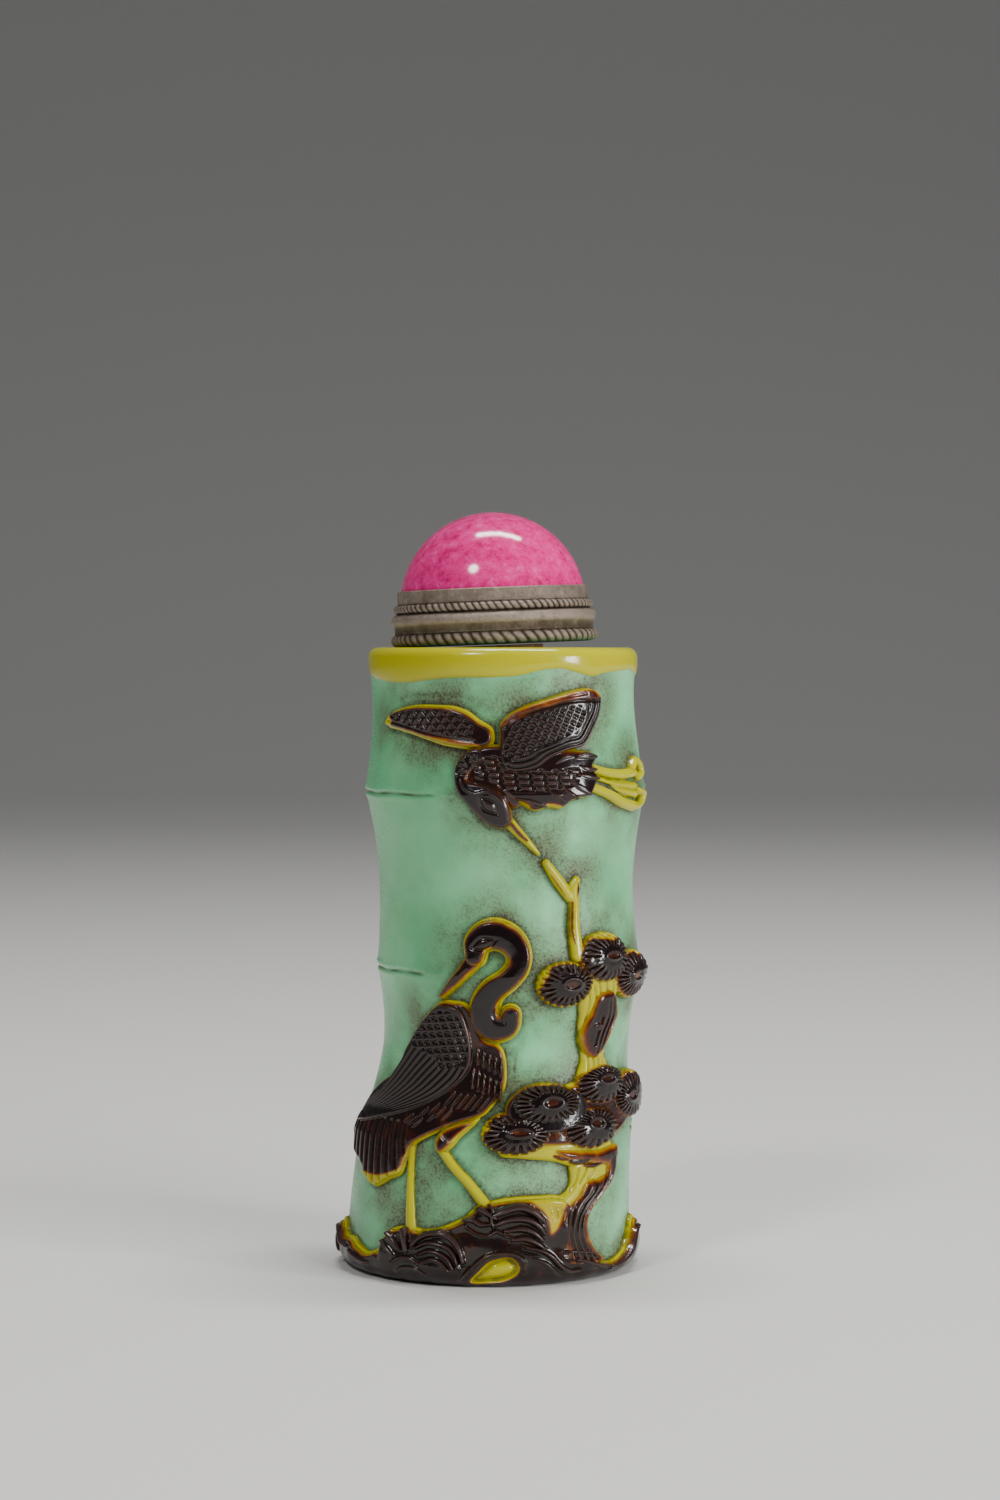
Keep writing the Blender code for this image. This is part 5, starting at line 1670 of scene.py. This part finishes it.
@dataclass
class RimBand:
    """The band of yellow glass left round the mouth, with a wavy lower edge."""

    bamboo: Bamboo
    thickness: float = 0.16
    root: float = 0.3
    rim_round: float = 0.9
    top_reach: float = 1.5
    steps: int = 300
    lowest: float = 60.4
    edge_points: Sequence[Point] = (
        (-42.4, 61.8), (-36.0, 62.2), (-30.0, 61.5), (-24.0, 61.9), (-19.5, 61.7), (-15.9, 61.3),
        (-11.2, 61.0), (-7.4, 61.4), (-4.2, 61.6), (-0.4, 61.6), (1.5, 61.7), (3.0, 62.0), (4.4, 62.3),
        (6.0, 62.4), (7.0, 62.2), (8.8, 61.8), (10.0, 61.7), (11.4, 62.0), (14.0, 62.2), (17.0, 62.3),
        (22.0, 61.6), (28.0, 62.1), (35.0, 61.4), (42.4, 61.8)
    )

    def lower_edge(self, arc: Array) -> Array:
        """Give the height of the band's lower edge round the body."""
        points = smooth_through(self.edge_points, closed=False)
        return np.interp(arc, points[:, 0], points[:, 1]) * self.bamboo.height / self.bamboo.drawing_height

    def build(self, finish: "Finish") -> bpy.types.Object:
        """Build the band."""
        top = self.bamboo.height
        rim = float(self.bamboo.radius(np.array(top)))
        centre = (rim - self.rim_round, top - self.rim_round)
        inner = rim - self.rim_round - self.top_reach
        low = self.lowest
        profile = [(rim - self.root, low), (rim - 0.02, low), (rim + 0.05, low + 0.12)]
        profile += [(rim + self.thickness * 0.8, low + 0.4), (rim + self.thickness, low + 0.8)]
        profile += [(rim + self.thickness, low + 1.4)]
        profile += bend(centre, self.rim_round + self.thickness, 0, 90, 10)
        profile += [(inner, top + self.thickness), (inner - 0.15, top + self.thickness - 0.12)]
        profile += [(inner - 0.15, top - self.root)]
        profile += bend(centre, self.rim_round - self.root, 90, 0, 5)
        profile += [(rim - self.root, low + 1.0), (rim - self.root, low)]
        shape = turn_profile(profile, self.steps)
        flat = grid_values(shape)
        turn = np.arctan2(flat[:, 0], -flat[:, 1])
        above = flat[:, 2] - low
        edge = self.lower_edge(turn * self.bamboo.drawing_radius)
        level = flat[:, 2] + (edge - low) * (1 - smooth(flat[:, 2], low + 0.5, top - 0.9))
        reach = np.hypot(flat[:, 0], flat[:, 1]) + self.bamboo.radius(level) - rim
        placed = np.stack(
            [self.bamboo.drift(level) + reach * np.sin(turn), -reach * np.cos(turn), level], axis=1
        )
        move_to(shape, placed * MM)
        new_layer(shape, "proud", YELLOW_THICKNESS * smooth(above, -0.1, 0.6))
        new_layer(shape, "raised")
        new_layer(shape, "brown")
        piece = finish_mesh("rim_band", shape, finish)
        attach(piece, BODY)
        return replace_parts(piece, "bottle")


# The stopper


@dataclass
class Rope:
    """A rope-twist band: its height, its half thickness, its ring's radius and its number of strands."""

    level: float
    thick: float
    around: float
    strands: int
    segments: int = 14
    strand_steps: int = 8
    slant: float = 0.75

    def build(self) -> bmesh.types.BMesh:
        """Make the band: a ring with narrow slanting grooves between plump strands."""
        shape = bmesh.new()
        made = bmesh.ops.create_circle(shape, cap_ends=False, segments=self.segments, radius=self.thick)
        turned = Matrix.Translation((self.around, 0.0, self.level)) @ Matrix.Rotation(math.pi / 2, 4, "X")
        bmesh.ops.transform(shape, matrix=turned, verts=made["verts"])
        spin_round(shape, self.strands * self.strand_steps)
        flat = grid_values(shape)
        turn = np.arctan2(flat[:, 1], flat[:, 0])
        away = np.hypot(flat[:, 0], flat[:, 1]) - self.around
        up = flat[:, 2] - self.level
        phase = self.strands * turn + self.slant * math.pi * up / self.thick + 0.8 * np.sin(7 * turn)
        groove = (0.5 - 0.5 * np.cos(phase)) ** 3
        rubbed = 0.7 + 0.3 * np.sin(4 * turn + 1.2) * np.sin(9 * turn)
        swell = 1.03 - 0.32 * groove * rubbed
        reach = self.around + away * swell
        placed = np.stack(
            [reach * np.cos(turn), reach * np.sin(turn), self.level + up * (0.8 + 0.2 * swell)], axis=1
        )
        move_to(shape, placed)
        new_layer(shape, "worn", (1 - groove) * smooth(away / self.thick, -0.1, 0.8))
        new_layer(shape, "green", 1 - smooth(placed[:, 2], 0.1, 0.8))
        turn_outwards(shape)
        return shape


@dataclass
class Stopper:
    """The stopper: a stone in a metal collar over a cork, all on one tilted seat."""

    bamboo: Bamboo
    mouth_centre: float
    tilt: float = math.radians(2.3)
    gap: float = 0.06
    collar_height: float = 5.82
    collar_radius: float = 10.6
    lip_radius: float = 10.02
    lip_wall: float = 0.4
    collar_floor: float = 1.0
    stone_rise: float = 8.0
    stone_gap: float = 0.3
    cork_gap: float = 0.3
    cork_depth: float = 6.0
    cork_taper: float = 0.3
    cork_pit: float = 0.05
    mouth_radius: float = 5.5
    ropes: tuple[Rope, Rope] = (Rope(3.95, 0.46, 10.0, 84), Rope(0.7, 0.64, 10.19, 62))

    def lifted(self) -> float:
        """Give how high the middle of the collar's underside is above the rim."""
        return self.gap + self.collar_radius * math.sin(self.tilt)

    def seat(self) -> Matrix:
        """Give the place and tilt of the stopper, from millimetres to metres."""
        middle_of_cork = self.lifted() + self.cork_depth / 2
        across = self.mouth_centre - middle_of_cork * math.sin(self.tilt)
        place = Matrix.Translation(Vector((across, 0.0, self.bamboo.height + self.lifted())) * MM)
        return place @ Matrix.Rotation(-self.tilt, 4, "Y") @ Matrix.Scale(MM, 4)

    def put(self, name: str, node: str, shape: bmesh.types.BMesh, finish: "Finish") -> bpy.types.Object:
        """Put a finished shape on the seat, in the place of its node."""
        bmesh.ops.transform(shape, matrix=self.seat(), verts=shape.verts)
        piece = finish_mesh(name, shape, finish)
        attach(piece, BODY)
        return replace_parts(piece, node)

    def collar(self, finish: "Finish") -> bpy.types.Object:
        """Build the turned collar: lip, upper rope's seat, round moulding, cove, lower rope's seat."""
        upper, lower = self.ropes
        top = self.collar_height
        stone_side = self.lip_radius - self.lip_wall
        moulding = (10.0, (upper.level - upper.thick + lower.level + lower.thick) / 2 + 0.3)
        profile = [(stone_side, top - 0.06), (stone_side + 0.1, top), (self.lip_radius - 0.1, top)]
        profile += [
            (self.lip_radius, top - 0.1), (self.lip_radius - 0.04, top - 0.6), (self.lip_radius, top - 1.3)
        ]
        profile += [(9.95, upper.level + 0.4), (9.8, upper.level), (9.95, upper.level - 0.42)]
        profile += bend(moulding, 0.76, 60, -50, 12)
        profile += [(10.42, 1.95), (10.38, 1.75), (10.38, 1.55), (10.44, 1.42), (10.35, 1.32)]
        profile += [(10.0, lower.level), (10.1, 0.2), (10.1, 0.06), (10.0, 0.0), (5.0, 0.0), (0.0, 0.0)]
        inside = [(0.0, self.collar_floor), (stone_side, self.collar_floor), (stone_side, top - 0.06)]
        shape = turn_profile(profile + inside, 180)
        flat = grid_values(shape)
        reach = np.hypot(flat[:, 0], flat[:, 1])
        lip = 0.75 * smooth(flat[:, 2], upper.level + 0.35, upper.level + 0.6)
        new_layer(shape, "worn", np.maximum(smooth(reach, 10.2, 10.7), lip))
        new_layer(shape, "green", 0.5 * notch(flat[:, 2] - 1.75, 0.4) + 1 - smooth(flat[:, 2], 0.1, 0.8))
        return self.put("collar_body", "stopper_collar", shape, finish)

    def stone(self, finish: "Finish") -> bpy.types.Object:
        """Build the domed cabochon."""
        side = self.lip_radius - self.lip_wall - 0.03
        sphere = (side**2 + self.stone_rise**2) / (2 * self.stone_rise)
        centre = self.collar_height + self.stone_rise - sphere
        lowest = math.degrees(math.asin((self.collar_height - centre) / sphere))
        profile = bend((0.0, centre), sphere, 90, lowest, 40)
        profile[0] = (0.0, centre + sphere)
        bottom = self.collar_floor + self.stone_gap
        profile += [
            (side, self.collar_height - 1.0), (side, bottom + 0.3), (side - 0.3, bottom), (0.0, bottom)
        ]
        return self.put("stone_cabochon", "stopper_stone", turn_profile(profile, 128), finish)

    def cork(self, finish: "Finish") -> bpy.types.Object:
        """Build the cork plug, with slightly pitted sides."""
        swing = math.sin(self.tilt) * self.cork_depth / 2
        top_radius = self.mouth_radius - self.cork_gap - swing
        bottom = -self.lifted() - self.cork_depth
        low_radius = top_radius - self.cork_taper
        top = -0.12
        profile = [(0.0, top), (top_radius - 0.1, top), (top_radius, top - 0.1)]
        profile += [
            (top_radius + (low_radius - top_radius) * i / 12, bottom * i / 13 - 0.4) for i in range(1, 12)
        ]
        profile += bend((low_radius - 0.6, bottom + 0.6), 0.6, 0, -90, 4)
        profile += [(0.0, bottom)]
        shape = turn_profile(profile, 72)
        for vertex in shape.verts:
            turn, level = math.atan2(vertex.co.y, vertex.co.x), vertex.co.z
            ripple = math.sin(9 * turn + 3.1 * level) * math.sin(5 * turn - 2.3 * level)
            left = 1 - self.cork_pit * max(0.0, ripple)
            vertex.co.x *= left
            vertex.co.y *= left
        return self.put("cork_plug", "stopper_cork", shape, finish)

    def build(self, metal: "Finish", stone: "Finish", cork: "Finish") -> None:
        """Build the stopper's pieces."""
        self.collar(metal)
        for name, rope in zip(("rope_upper", "rope_lower"), self.ropes):
            self.put(name, "stopper_collar", rope.build(), metal)
        self.stone(stone)
        self.cork(cork)


# Finishes


def linear(colour: str) -> tuple[float, float, float, float]:
    """Turn an sRGB hex colour to linear values."""
    values = [int(colour[i : i + 2], 16) / 255 for i in (1, 3, 5)]
    return (*[v / 12.92 if v <= 0.04045 else ((v + 0.055) / 1.055) ** 2.4 for v in values], 1.0)


def per_mm(size: float) -> float:
    """Give the texture scale, in metres, of a pattern whose features are this many millimetres across."""
    return 1.0 / (size * MM)


def add(
    tree: bpy.types.NodeTree, kind: str, inputs: Inputs | None = None, **settings: object
) -> bpy.types.Node:
    """Add a node with its settings and links.

    Args:
        tree: The material's node tree.
        kind: The node's type.
        inputs: Sockets by name or number, each with a value or with the output that feeds it.
        settings: The node's own settings.

    Returns:
        The node.
    """
    made = tree.nodes.new(kind)
    for name, value in settings.items():
        setattr(made, name, value)
    for key, value in (inputs or {}).items():
        if isinstance(value, bpy.types.NodeSocket):
            tree.links.new(value, made.inputs[key])
        else:
            made.inputs[key].default_value = value
    return made


@dataclass(frozen=True)
class Nodes:
    """The nodes of one material. Each method adds one and gives its output."""

    tree: bpy.types.NodeTree

    def noise(self, size: float, detail: float, rough: float = 0.5, warp: float = 0.0) -> Socket:
        """Add noise whose features are this many millimetres across."""
        place = add(self.tree, "ShaderNodeTexCoord").outputs["Object"]
        inputs = {
            "Vector": place, "Scale": per_mm(size), "Detail": detail, "Roughness": rough, "Distortion": warp
        }
        return add(self.tree, "ShaderNodeTexNoise", inputs).outputs["Fac"]

    def read(self, name: str) -> Socket:
        """Read a number that the mesh holds for each vertex."""
        return add(self.tree, "ShaderNodeAttribute", attribute_name=name).outputs["Fac"]

    def remap(
        self, value: Socket, low: float, high: float, start: float = 0.0, end: float = 1.0,
        kind: str = "LINEAR"
    ) -> Socket:
        """Turn the range from low to high into the one from start to end, and keep the value inside it.

        Args:
            value: The value.
            low: Where its range starts.
            high: Where its range ends.
            start: What low becomes.
            end: What high becomes.
            kind: The node's interpolation.

        Returns:
            The output.
        """
        inputs = {"Value": value, "From Min": low, "From Max": high, "To Min": start, "To Max": end}
        return add(self.tree, "ShaderNodeMapRange", inputs, interpolation_type=kind).outputs[0]

    def work_out(
        self, operation: str, one: Socket, two: Socket | float = 0.5, clamp: bool = False
    ) -> Socket:
        """Work out one number from two."""
        return add(
            self.tree, "ShaderNodeMath", {0: one, 1: two}, operation=operation, use_clamp=clamp
        ).outputs[0]

    def ramp(self, value: Socket, *stops: tuple[float, str]) -> Socket:
        """Turn a value into a colour, by its places and sRGB hex colours."""
        made = add(self.tree, "ShaderNodeValToRGB", {"Fac": value})
        elements = made.color_ramp.elements
        while len(elements) < len(stops):
            elements.new(1.0)
        for element, (place, colour) in zip(elements, stops):
            element.position = place
            element.color = linear(colour)
        return made.outputs["Color"]

    def blend(self, share: Socket, colour: Socket, other: str) -> Socket:
        """Mix a colour with a share of an sRGB hex one."""
        return add(
            self.tree, "ShaderNodeMix", {0: share, 6: colour, 7: linear(other)}, data_type="RGBA"
        ).outputs[2]

    def bump(self, height: Socket, strength: float, depth: float) -> Socket:
        """Raise and lower the surface by a pattern, with a depth in millimetres."""
        inputs = {"Height": height, "Strength": strength, "Distance": depth * MM}
        return add(self.tree, "ShaderNodeBump", inputs).outputs[0]


@dataclass(frozen=True)
class Finish:
    """A surface: the record's slot that it belongs to and the material, which is made once."""

    slot: str
    title: str

    @cached_property
    def material(self) -> bpy.types.Material:
        """Give the material, made at its first use."""
        made = bpy.data.materials.new(self.title)
        made.use_nodes = True
        tree = made.node_tree
        tree.nodes.clear()
        shader = add(tree, "ShaderNodeBsdfPrincipled", self.surface(Nodes(tree)))
        add(tree, "ShaderNodeOutputMaterial", {"Surface": shader.outputs[0]})
        return made

    def surface(self, nodes: Nodes) -> Inputs:
        """Give what goes into the shader."""
        raise NotImplementedError


@dataclass(frozen=True)
class TurquoiseGlass(Finish):
    """Opaque turquoise glass, ground and polished by hand: cloudy, low gloss, with grime by the carving and
    painted shade at its foot.
    """

    slot: str = "overlay_glass"
    title: str = "turquoise_glass_ground_and_polished"

    def surface(self, nodes: Nodes) -> Inputs:
        """Give what goes into the shader."""
        # Broad clouds in the glass, several millimetres across
        body = nodes.ramp(nodes.noise(11.0, 4.0), (0.32, "#5CB27E"), (0.5, "#72C48C"), (0.68, "#8AD29E"))
        # The grinding round the carving left a matt skin that holds grime: a brown film with dark specks
        gap = nodes.read("grime_and_shade_gap")
        near = nodes.remap(gap, 0.0, 5.5, 1.0, 0.12, "SMOOTHSTEP")
        haze = nodes.work_out("MULTIPLY", near, nodes.remap(nodes.noise(5.0, 5.0), 0.3, 0.62))
        filmed = nodes.blend(nodes.work_out("MULTIPLY", haze, 0.85), body, "#686A4E")
        speckled = nodes.remap(nodes.noise(0.26, 5.0, 0.8), 0.43, 0.74, 0.0, 1.6)
        speck = nodes.work_out("MULTIPLY", haze, speckled)
        # Painted shade where the carving meets the ground, and dirt in the cut lines
        specks_and_foot_shade = nodes.work_out("ADD", speck, nodes.remap(gap, 0.0, 0.6, 0.5, 0.0))
        lines = nodes.work_out("MULTIPLY", nodes.read("dirt"), 0.85)
        total = nodes.work_out("ADD", specks_and_foot_shade, lines, clamp=True)
        # Ripples of hand grinding, about 1.5 mm apart
        ripples = nodes.bump(nodes.noise(1.5, 3.0), 0.3, 0.08)
        return {
            # The dark mix toward #38321F is grime, dirt in the cut lines and painted shade at the carving's
            # foot
            "Base Color": nodes.blend(total, filmed, "#38321F"),
            "Roughness": nodes.remap(total, 0.0, 1.0, 0.27, 0.6), "Normal": ripples, "IOR": 1.5,
            "Subsurface Weight": 0.1, "Subsurface Radius": (0.4, 1.0, 0.8), "Subsurface Scale": 0.8 * MM
        }


@dataclass(frozen=True)
class OverlayGlass(Finish):
    """Overlay glass, wheel-cut and polished: yellow under deep aubergine brown, amber where that is thin."""

    slot: str = "overlay_glass"
    title: str = "overlay_glass_wheel_cut_and_polished"
    stops: tuple[tuple[float, str], ...] = (
        (0.0, "#B0AA00"), (0.04, "#A27E00"), (0.12, "#7A3C04"), (0.22, "#3E160A"), (0.4, "#1A0807"),
        (0.75, "#0C0304")
    )

    def surface(self, nodes: Nodes) -> Inputs:
        """Give what goes into the shader."""
        # Slow changes in the thickness of the dark layer
        drift = nodes.noise(1.3, 4.0)
        brown = nodes.read("brown")
        thickness = nodes.work_out("MULTIPLY", brown, nodes.remap(drift, 0.3, 0.7, 0.6, 1.4))
        glass = nodes.ramp(thickness, *self.stops)
        # At its feathered edge the yellow is so thin that the turquoise shows through
        edged = nodes.blend(nodes.remap(nodes.read("proud"), 0.02, 0.34, 0.7, 0.0), glass, "#7E8A10")
        # Handling rubbed the edges of the cuts matt; their paler colour is a painted highlight on the raised
        # edges
        raised = nodes.read("raised")
        worn_and_highlit_edge = nodes.remap(raised, 0.012, 0.06)
        rubbed = nodes.work_out("MULTIPLY", worn_and_highlit_edge, nodes.remap(brown, 0.12, 0.4, 0.0, 0.3))
        # Painted highlight: the raised edges are mixed toward pale #583F3C
        worn = nodes.blend(rubbed, edged, "#583F3C")
        # The hollows are darkened in noisy patches: painted shade
        hollow = nodes.remap(raised, -0.008, -0.07, 0.0, 0.6)
        dirt = nodes.work_out("MULTIPLY", hollow, nodes.remap(nodes.noise(0.8, 4.0), 0.3, 0.6, 0.35, 1.0))
        gloss = nodes.remap(drift, 0.3, 0.7, 0.1, 0.2)
        # Fine waves left by the wheel and the polishing
        waves = nodes.bump(nodes.noise(0.5, 2.0), 0.3, 0.05)
        return {
            # The mix toward #242006 in the hollows is painted shade
            "Base Color": nodes.blend(dirt, worn, "#242006"),
            "Roughness": nodes.work_out("ADD", gloss, nodes.work_out("MULTIPLY", rubbed, 0.3)),
            "Normal": waves, "IOR": 1.5, "Subsurface Weight": 0.05, "Subsurface Radius": (1.0, 0.6, 0.2),
            "Subsurface Scale": 0.5 * MM
        }


@dataclass(frozen=True)
class AgedBronze(Finish):
    """Cast bronze, turned and left to tone: dark brown, rubbed grey on the high parts, green low down."""

    slot: str = "bronze"
    title: str = "aged_bronze_rubbed"

    def surface(self, nodes: Nodes) -> Inputs:
        """Give what goes into the shader."""
        # Uneven toning, rubbed off where the collar is handled
        tone = nodes.work_out("SUBTRACT", nodes.noise(1.6, 6.0, 0.8), 0.5)
        level = nodes.work_out("ADD", nodes.read("worn"), nodes.work_out("MULTIPLY", tone, 1.6), clamp=True)
        metal = nodes.ramp(level, (0.0, "#3A2E22"), (0.35, "#5E5042"), (0.75, "#84766A"), (1.0, "#9C8E80"))
        # Green tarnish in patches low down and in the cove
        patchy = nodes.remap(nodes.noise(1.4, 4.0), 0.4, 0.65, 0.0, 0.6)
        tint = nodes.work_out("MULTIPLY", nodes.read("green"), patchy, clamp=True)
        # Pitting of the old cast skin
        pits = nodes.bump(nodes.noise(0.3, 4.0, 0.7), 0.8, 0.15)
        return {
            "Base Color": nodes.blend(tint, metal, "#4E5C38"),
            "Roughness": nodes.remap(level, 0.0, 1.0, 0.68, 0.46), "Normal": pits, "Metallic": 0.6
        }


@dataclass(frozen=True)
class PinkStone(Finish):
    """Dyed pink stone, ground to a dome and polished: fine mottling, darker veins and specks, high gloss."""

    slot: str = "pink_stone"
    title: str = "pink_stone_polished"
    stops: tuple[tuple[float, str], ...] = (
        (0.32, "#B00454"), (0.46, "#D41C76"), (0.58, "#E02E86"), (0.74, "#EA62A8")
    )

    def surface(self, nodes: Nodes) -> Inputs:
        """Give what goes into the shader."""
        # Crystals about a millimetre across took the dye unevenly
        body = nodes.ramp(nodes.noise(1.2, 7.0, 0.7), *self.stops)
        # Thin veins and specks hold more of it
        from_vein = nodes.work_out("SUBTRACT", nodes.noise(2.6, 6.0, 0.7, 0.6), 0.5)
        vein = nodes.remap(nodes.work_out("ABSOLUTE", from_vein), 0.0, 0.014, 0.4, 0.0)
        fleck = nodes.remap(nodes.noise(0.4, 3.0, 0.6), 0.36, 0.29, 0.0, 0.7)
        return {
            "Base Color": nodes.blend(nodes.work_out("MAXIMUM", vein, fleck), body, "#94104A"),
            "Roughness": 0.12, "IOR": 1.54, "Subsurface Weight": 0.1, "Subsurface Radius": (1.0, 0.4, 0.5),
            "Subsurface Scale": 0.8 * MM
        }


@dataclass(frozen=True)
class NaturalCork(Finish):
    """Cut cork: matt tan with darker pores."""

    slot: str = "cork"
    title: str = "natural_cork_cut"

    def surface(self, nodes: Nodes) -> Inputs:
        """Give what goes into the shader."""
        # Pores under a millimetre across, left open by the cut
        pores = nodes.noise(0.8, 5.0, 0.7)
        return {
            "Base Color": nodes.ramp(pores, (0.34, "#5E3F26"), (0.44, "#A27C54"), (0.65, "#BF9A70")),
            "Roughness": 0.85, "Normal": nodes.bump(pores, 0.6, 0.2)
        }


@dataclass(frozen=True)
class StudioPaper(Finish):
    """Plain pale paper of the studio floor."""

    slot: str = "floor"
    title: str = "studio_paper"

    def surface(self, nodes: Nodes) -> Inputs:
        """Give what goes into the shader."""
        # Matt, unprinted and smooth
        return {"Base Color": linear("#D9D7D2"), "Roughness": 0.8}


# The studio


@dataclass
class Studio:
    """Floor, lights and the camera at the photograph's viewing angle."""

    focal_length: float = 76.8
    frame_height: float = 36.0
    distance: float = 336.0
    eye_level: float = 64.5
    eye_across: float = 1.15
    pitch: float = math.radians(1.81)
    aim_level: float = 40.0
    floor_reach: float = 2.5
    flat_behind: float = 1.0
    curve: float = 0.6
    air: tuple[float, float, float, float] = (0.92, 0.95, 1.0, 1.0)
    air_strength: float = 0.13

    def floor(self) -> None:
        """Lay the floor, which curves up far behind the object."""
        shape = bmesh.new()
        bmesh.ops.create_grid(shape, x_segments=24, y_segments=24, size=self.floor_reach)
        for vertex in shape.verts:
            behind = max(vertex.co.y - self.flat_behind, 0.0)
            vertex.co.z = self.curve * behind**2
        mesh = bpy.data.meshes.new("floor")
        shape.to_mesh(mesh)
        shape.free()
        mesh.shade_smooth()
        mesh.materials.append(StudioPaper().material)
        floor = bpy.data.objects.new("floor", mesh)
        bpy.context.scene.collection.objects.link(floor)

    def lamp(
        self, name: str, place: tuple[float, float, float], size: tuple[float, float], power: float,
        aim_across: float = 0.0, mirrored: bool = True
    ) -> None:
        """Hang a softbox.

        Args:
            name: Its name.
            place: Where it hangs.
            size: Its width and height. A square one is made round.
            power: Its power in watts.
            aim_across: The X of the point that it faces, at half the object's height.
            mirrored: Whether polished surfaces show it.
        """
        light = bpy.data.lights.new(name, "AREA")
        light.shape = "RECTANGLE" if size[0] != size[1] else "DISK"
        light.size = size[0]
        light.size_y = size[1]
        light.energy = power
        lamp = bpy.data.objects.new(name, light)
        lamp.location = place
        aim = Vector((aim_across, 0.0, self.aim_level * MM)) - Vector(place)
        lamp.rotation_euler = aim.to_track_quat("-Z", "Y").to_euler()
        lamp.visible_glossy = mirrored
        bpy.context.scene.collection.objects.link(lamp)

    def lights(self) -> None:
        """Light the object: a soft light from the right, small mirrored ones, and a weak fill at the left."""
        # The small round light and the strip are the two highlights on the stone
        self.lamp("key_round", (-0.23, -0.39, 0.50), (0.11, 0.11), 1.3)
        self.lamp("overhead_strip", (0.05, 0.08, 0.62), (0.36, 0.06), 3.0, aim_across=0.05)
        # The large boxes light the glass softly and aren't mirrored in it
        self.lamp("right_softbox", (0.45, -0.42, 0.36), (0.40, 0.50), 3.6, mirrored=False)
        self.lamp("left_softbox", (-0.70, 0.20, 0.26), (0.40, 0.50), 0.2, mirrored=False)
        # A low panel makes the glints on the carving's right
        self.lamp("right_glint", (0.50, -0.29, 0.12), (0.10, 0.14), 1.5)
        world = bpy.data.worlds.new("studio")
        world.use_nodes = True
        background = world.node_tree.nodes["Background"]
        background.inputs["Color"].default_value = self.air
        background.inputs["Strength"].default_value = self.air_strength
        bpy.context.scene.world = world

    def camera(self) -> None:
        """Set the camera up."""
        data = bpy.data.cameras.new("camera")
        data.sensor_fit = "VERTICAL"
        data.sensor_height = self.frame_height
        data.lens = self.focal_length
        data.clip_start = 0.01
        camera = bpy.data.objects.new("camera", data)
        camera.location = Vector((self.eye_across, -self.distance, self.eye_level)) * MM
        camera.rotation_euler = (math.pi / 2 - self.pitch, 0.0, 0.0)
        bpy.context.scene.collection.objects.link(camera)
        bpy.context.scene.camera = camera

    def build(self) -> None:
        """Build the studio."""
        self.floor()
        self.lights()
        self.camera()


def main() -> None:
    """Build every piece in order and set the studio up."""
    logging.basicConfig(level=logging.INFO, format="%(name)s: %(message)s")
    low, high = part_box("bottle")
    bamboo = Bamboo(height=(high[2] - low[2]) / MM)
    overlay = OverlayGlass()
    flying, standing, pine, rocks = FlyingCrane(bamboo), StandingCrane(bamboo), Pine(bamboo), Rocks(bamboo)
    forms = (flying.carvings(), standing.carvings(), pine.upper(), pine.lower())
    figures = [CarvedPatch("figure", bamboo, form) for form in forms]
    vessel = Vessel(bamboo, figures, rocks)
    vessel.build(TurquoiseGlass())
    RimBand(bamboo).build(overlay)
    flying.build(overlay)
    standing.build(overlay)
    pine.build(overlay)
    rocks.build(overlay)
    Stopper(bamboo, vessel.mouth_centre()).build(AgedBronze(), PinkStone(), NaturalCork())
    Studio().build()


if __name__ == "__main__":
    main()
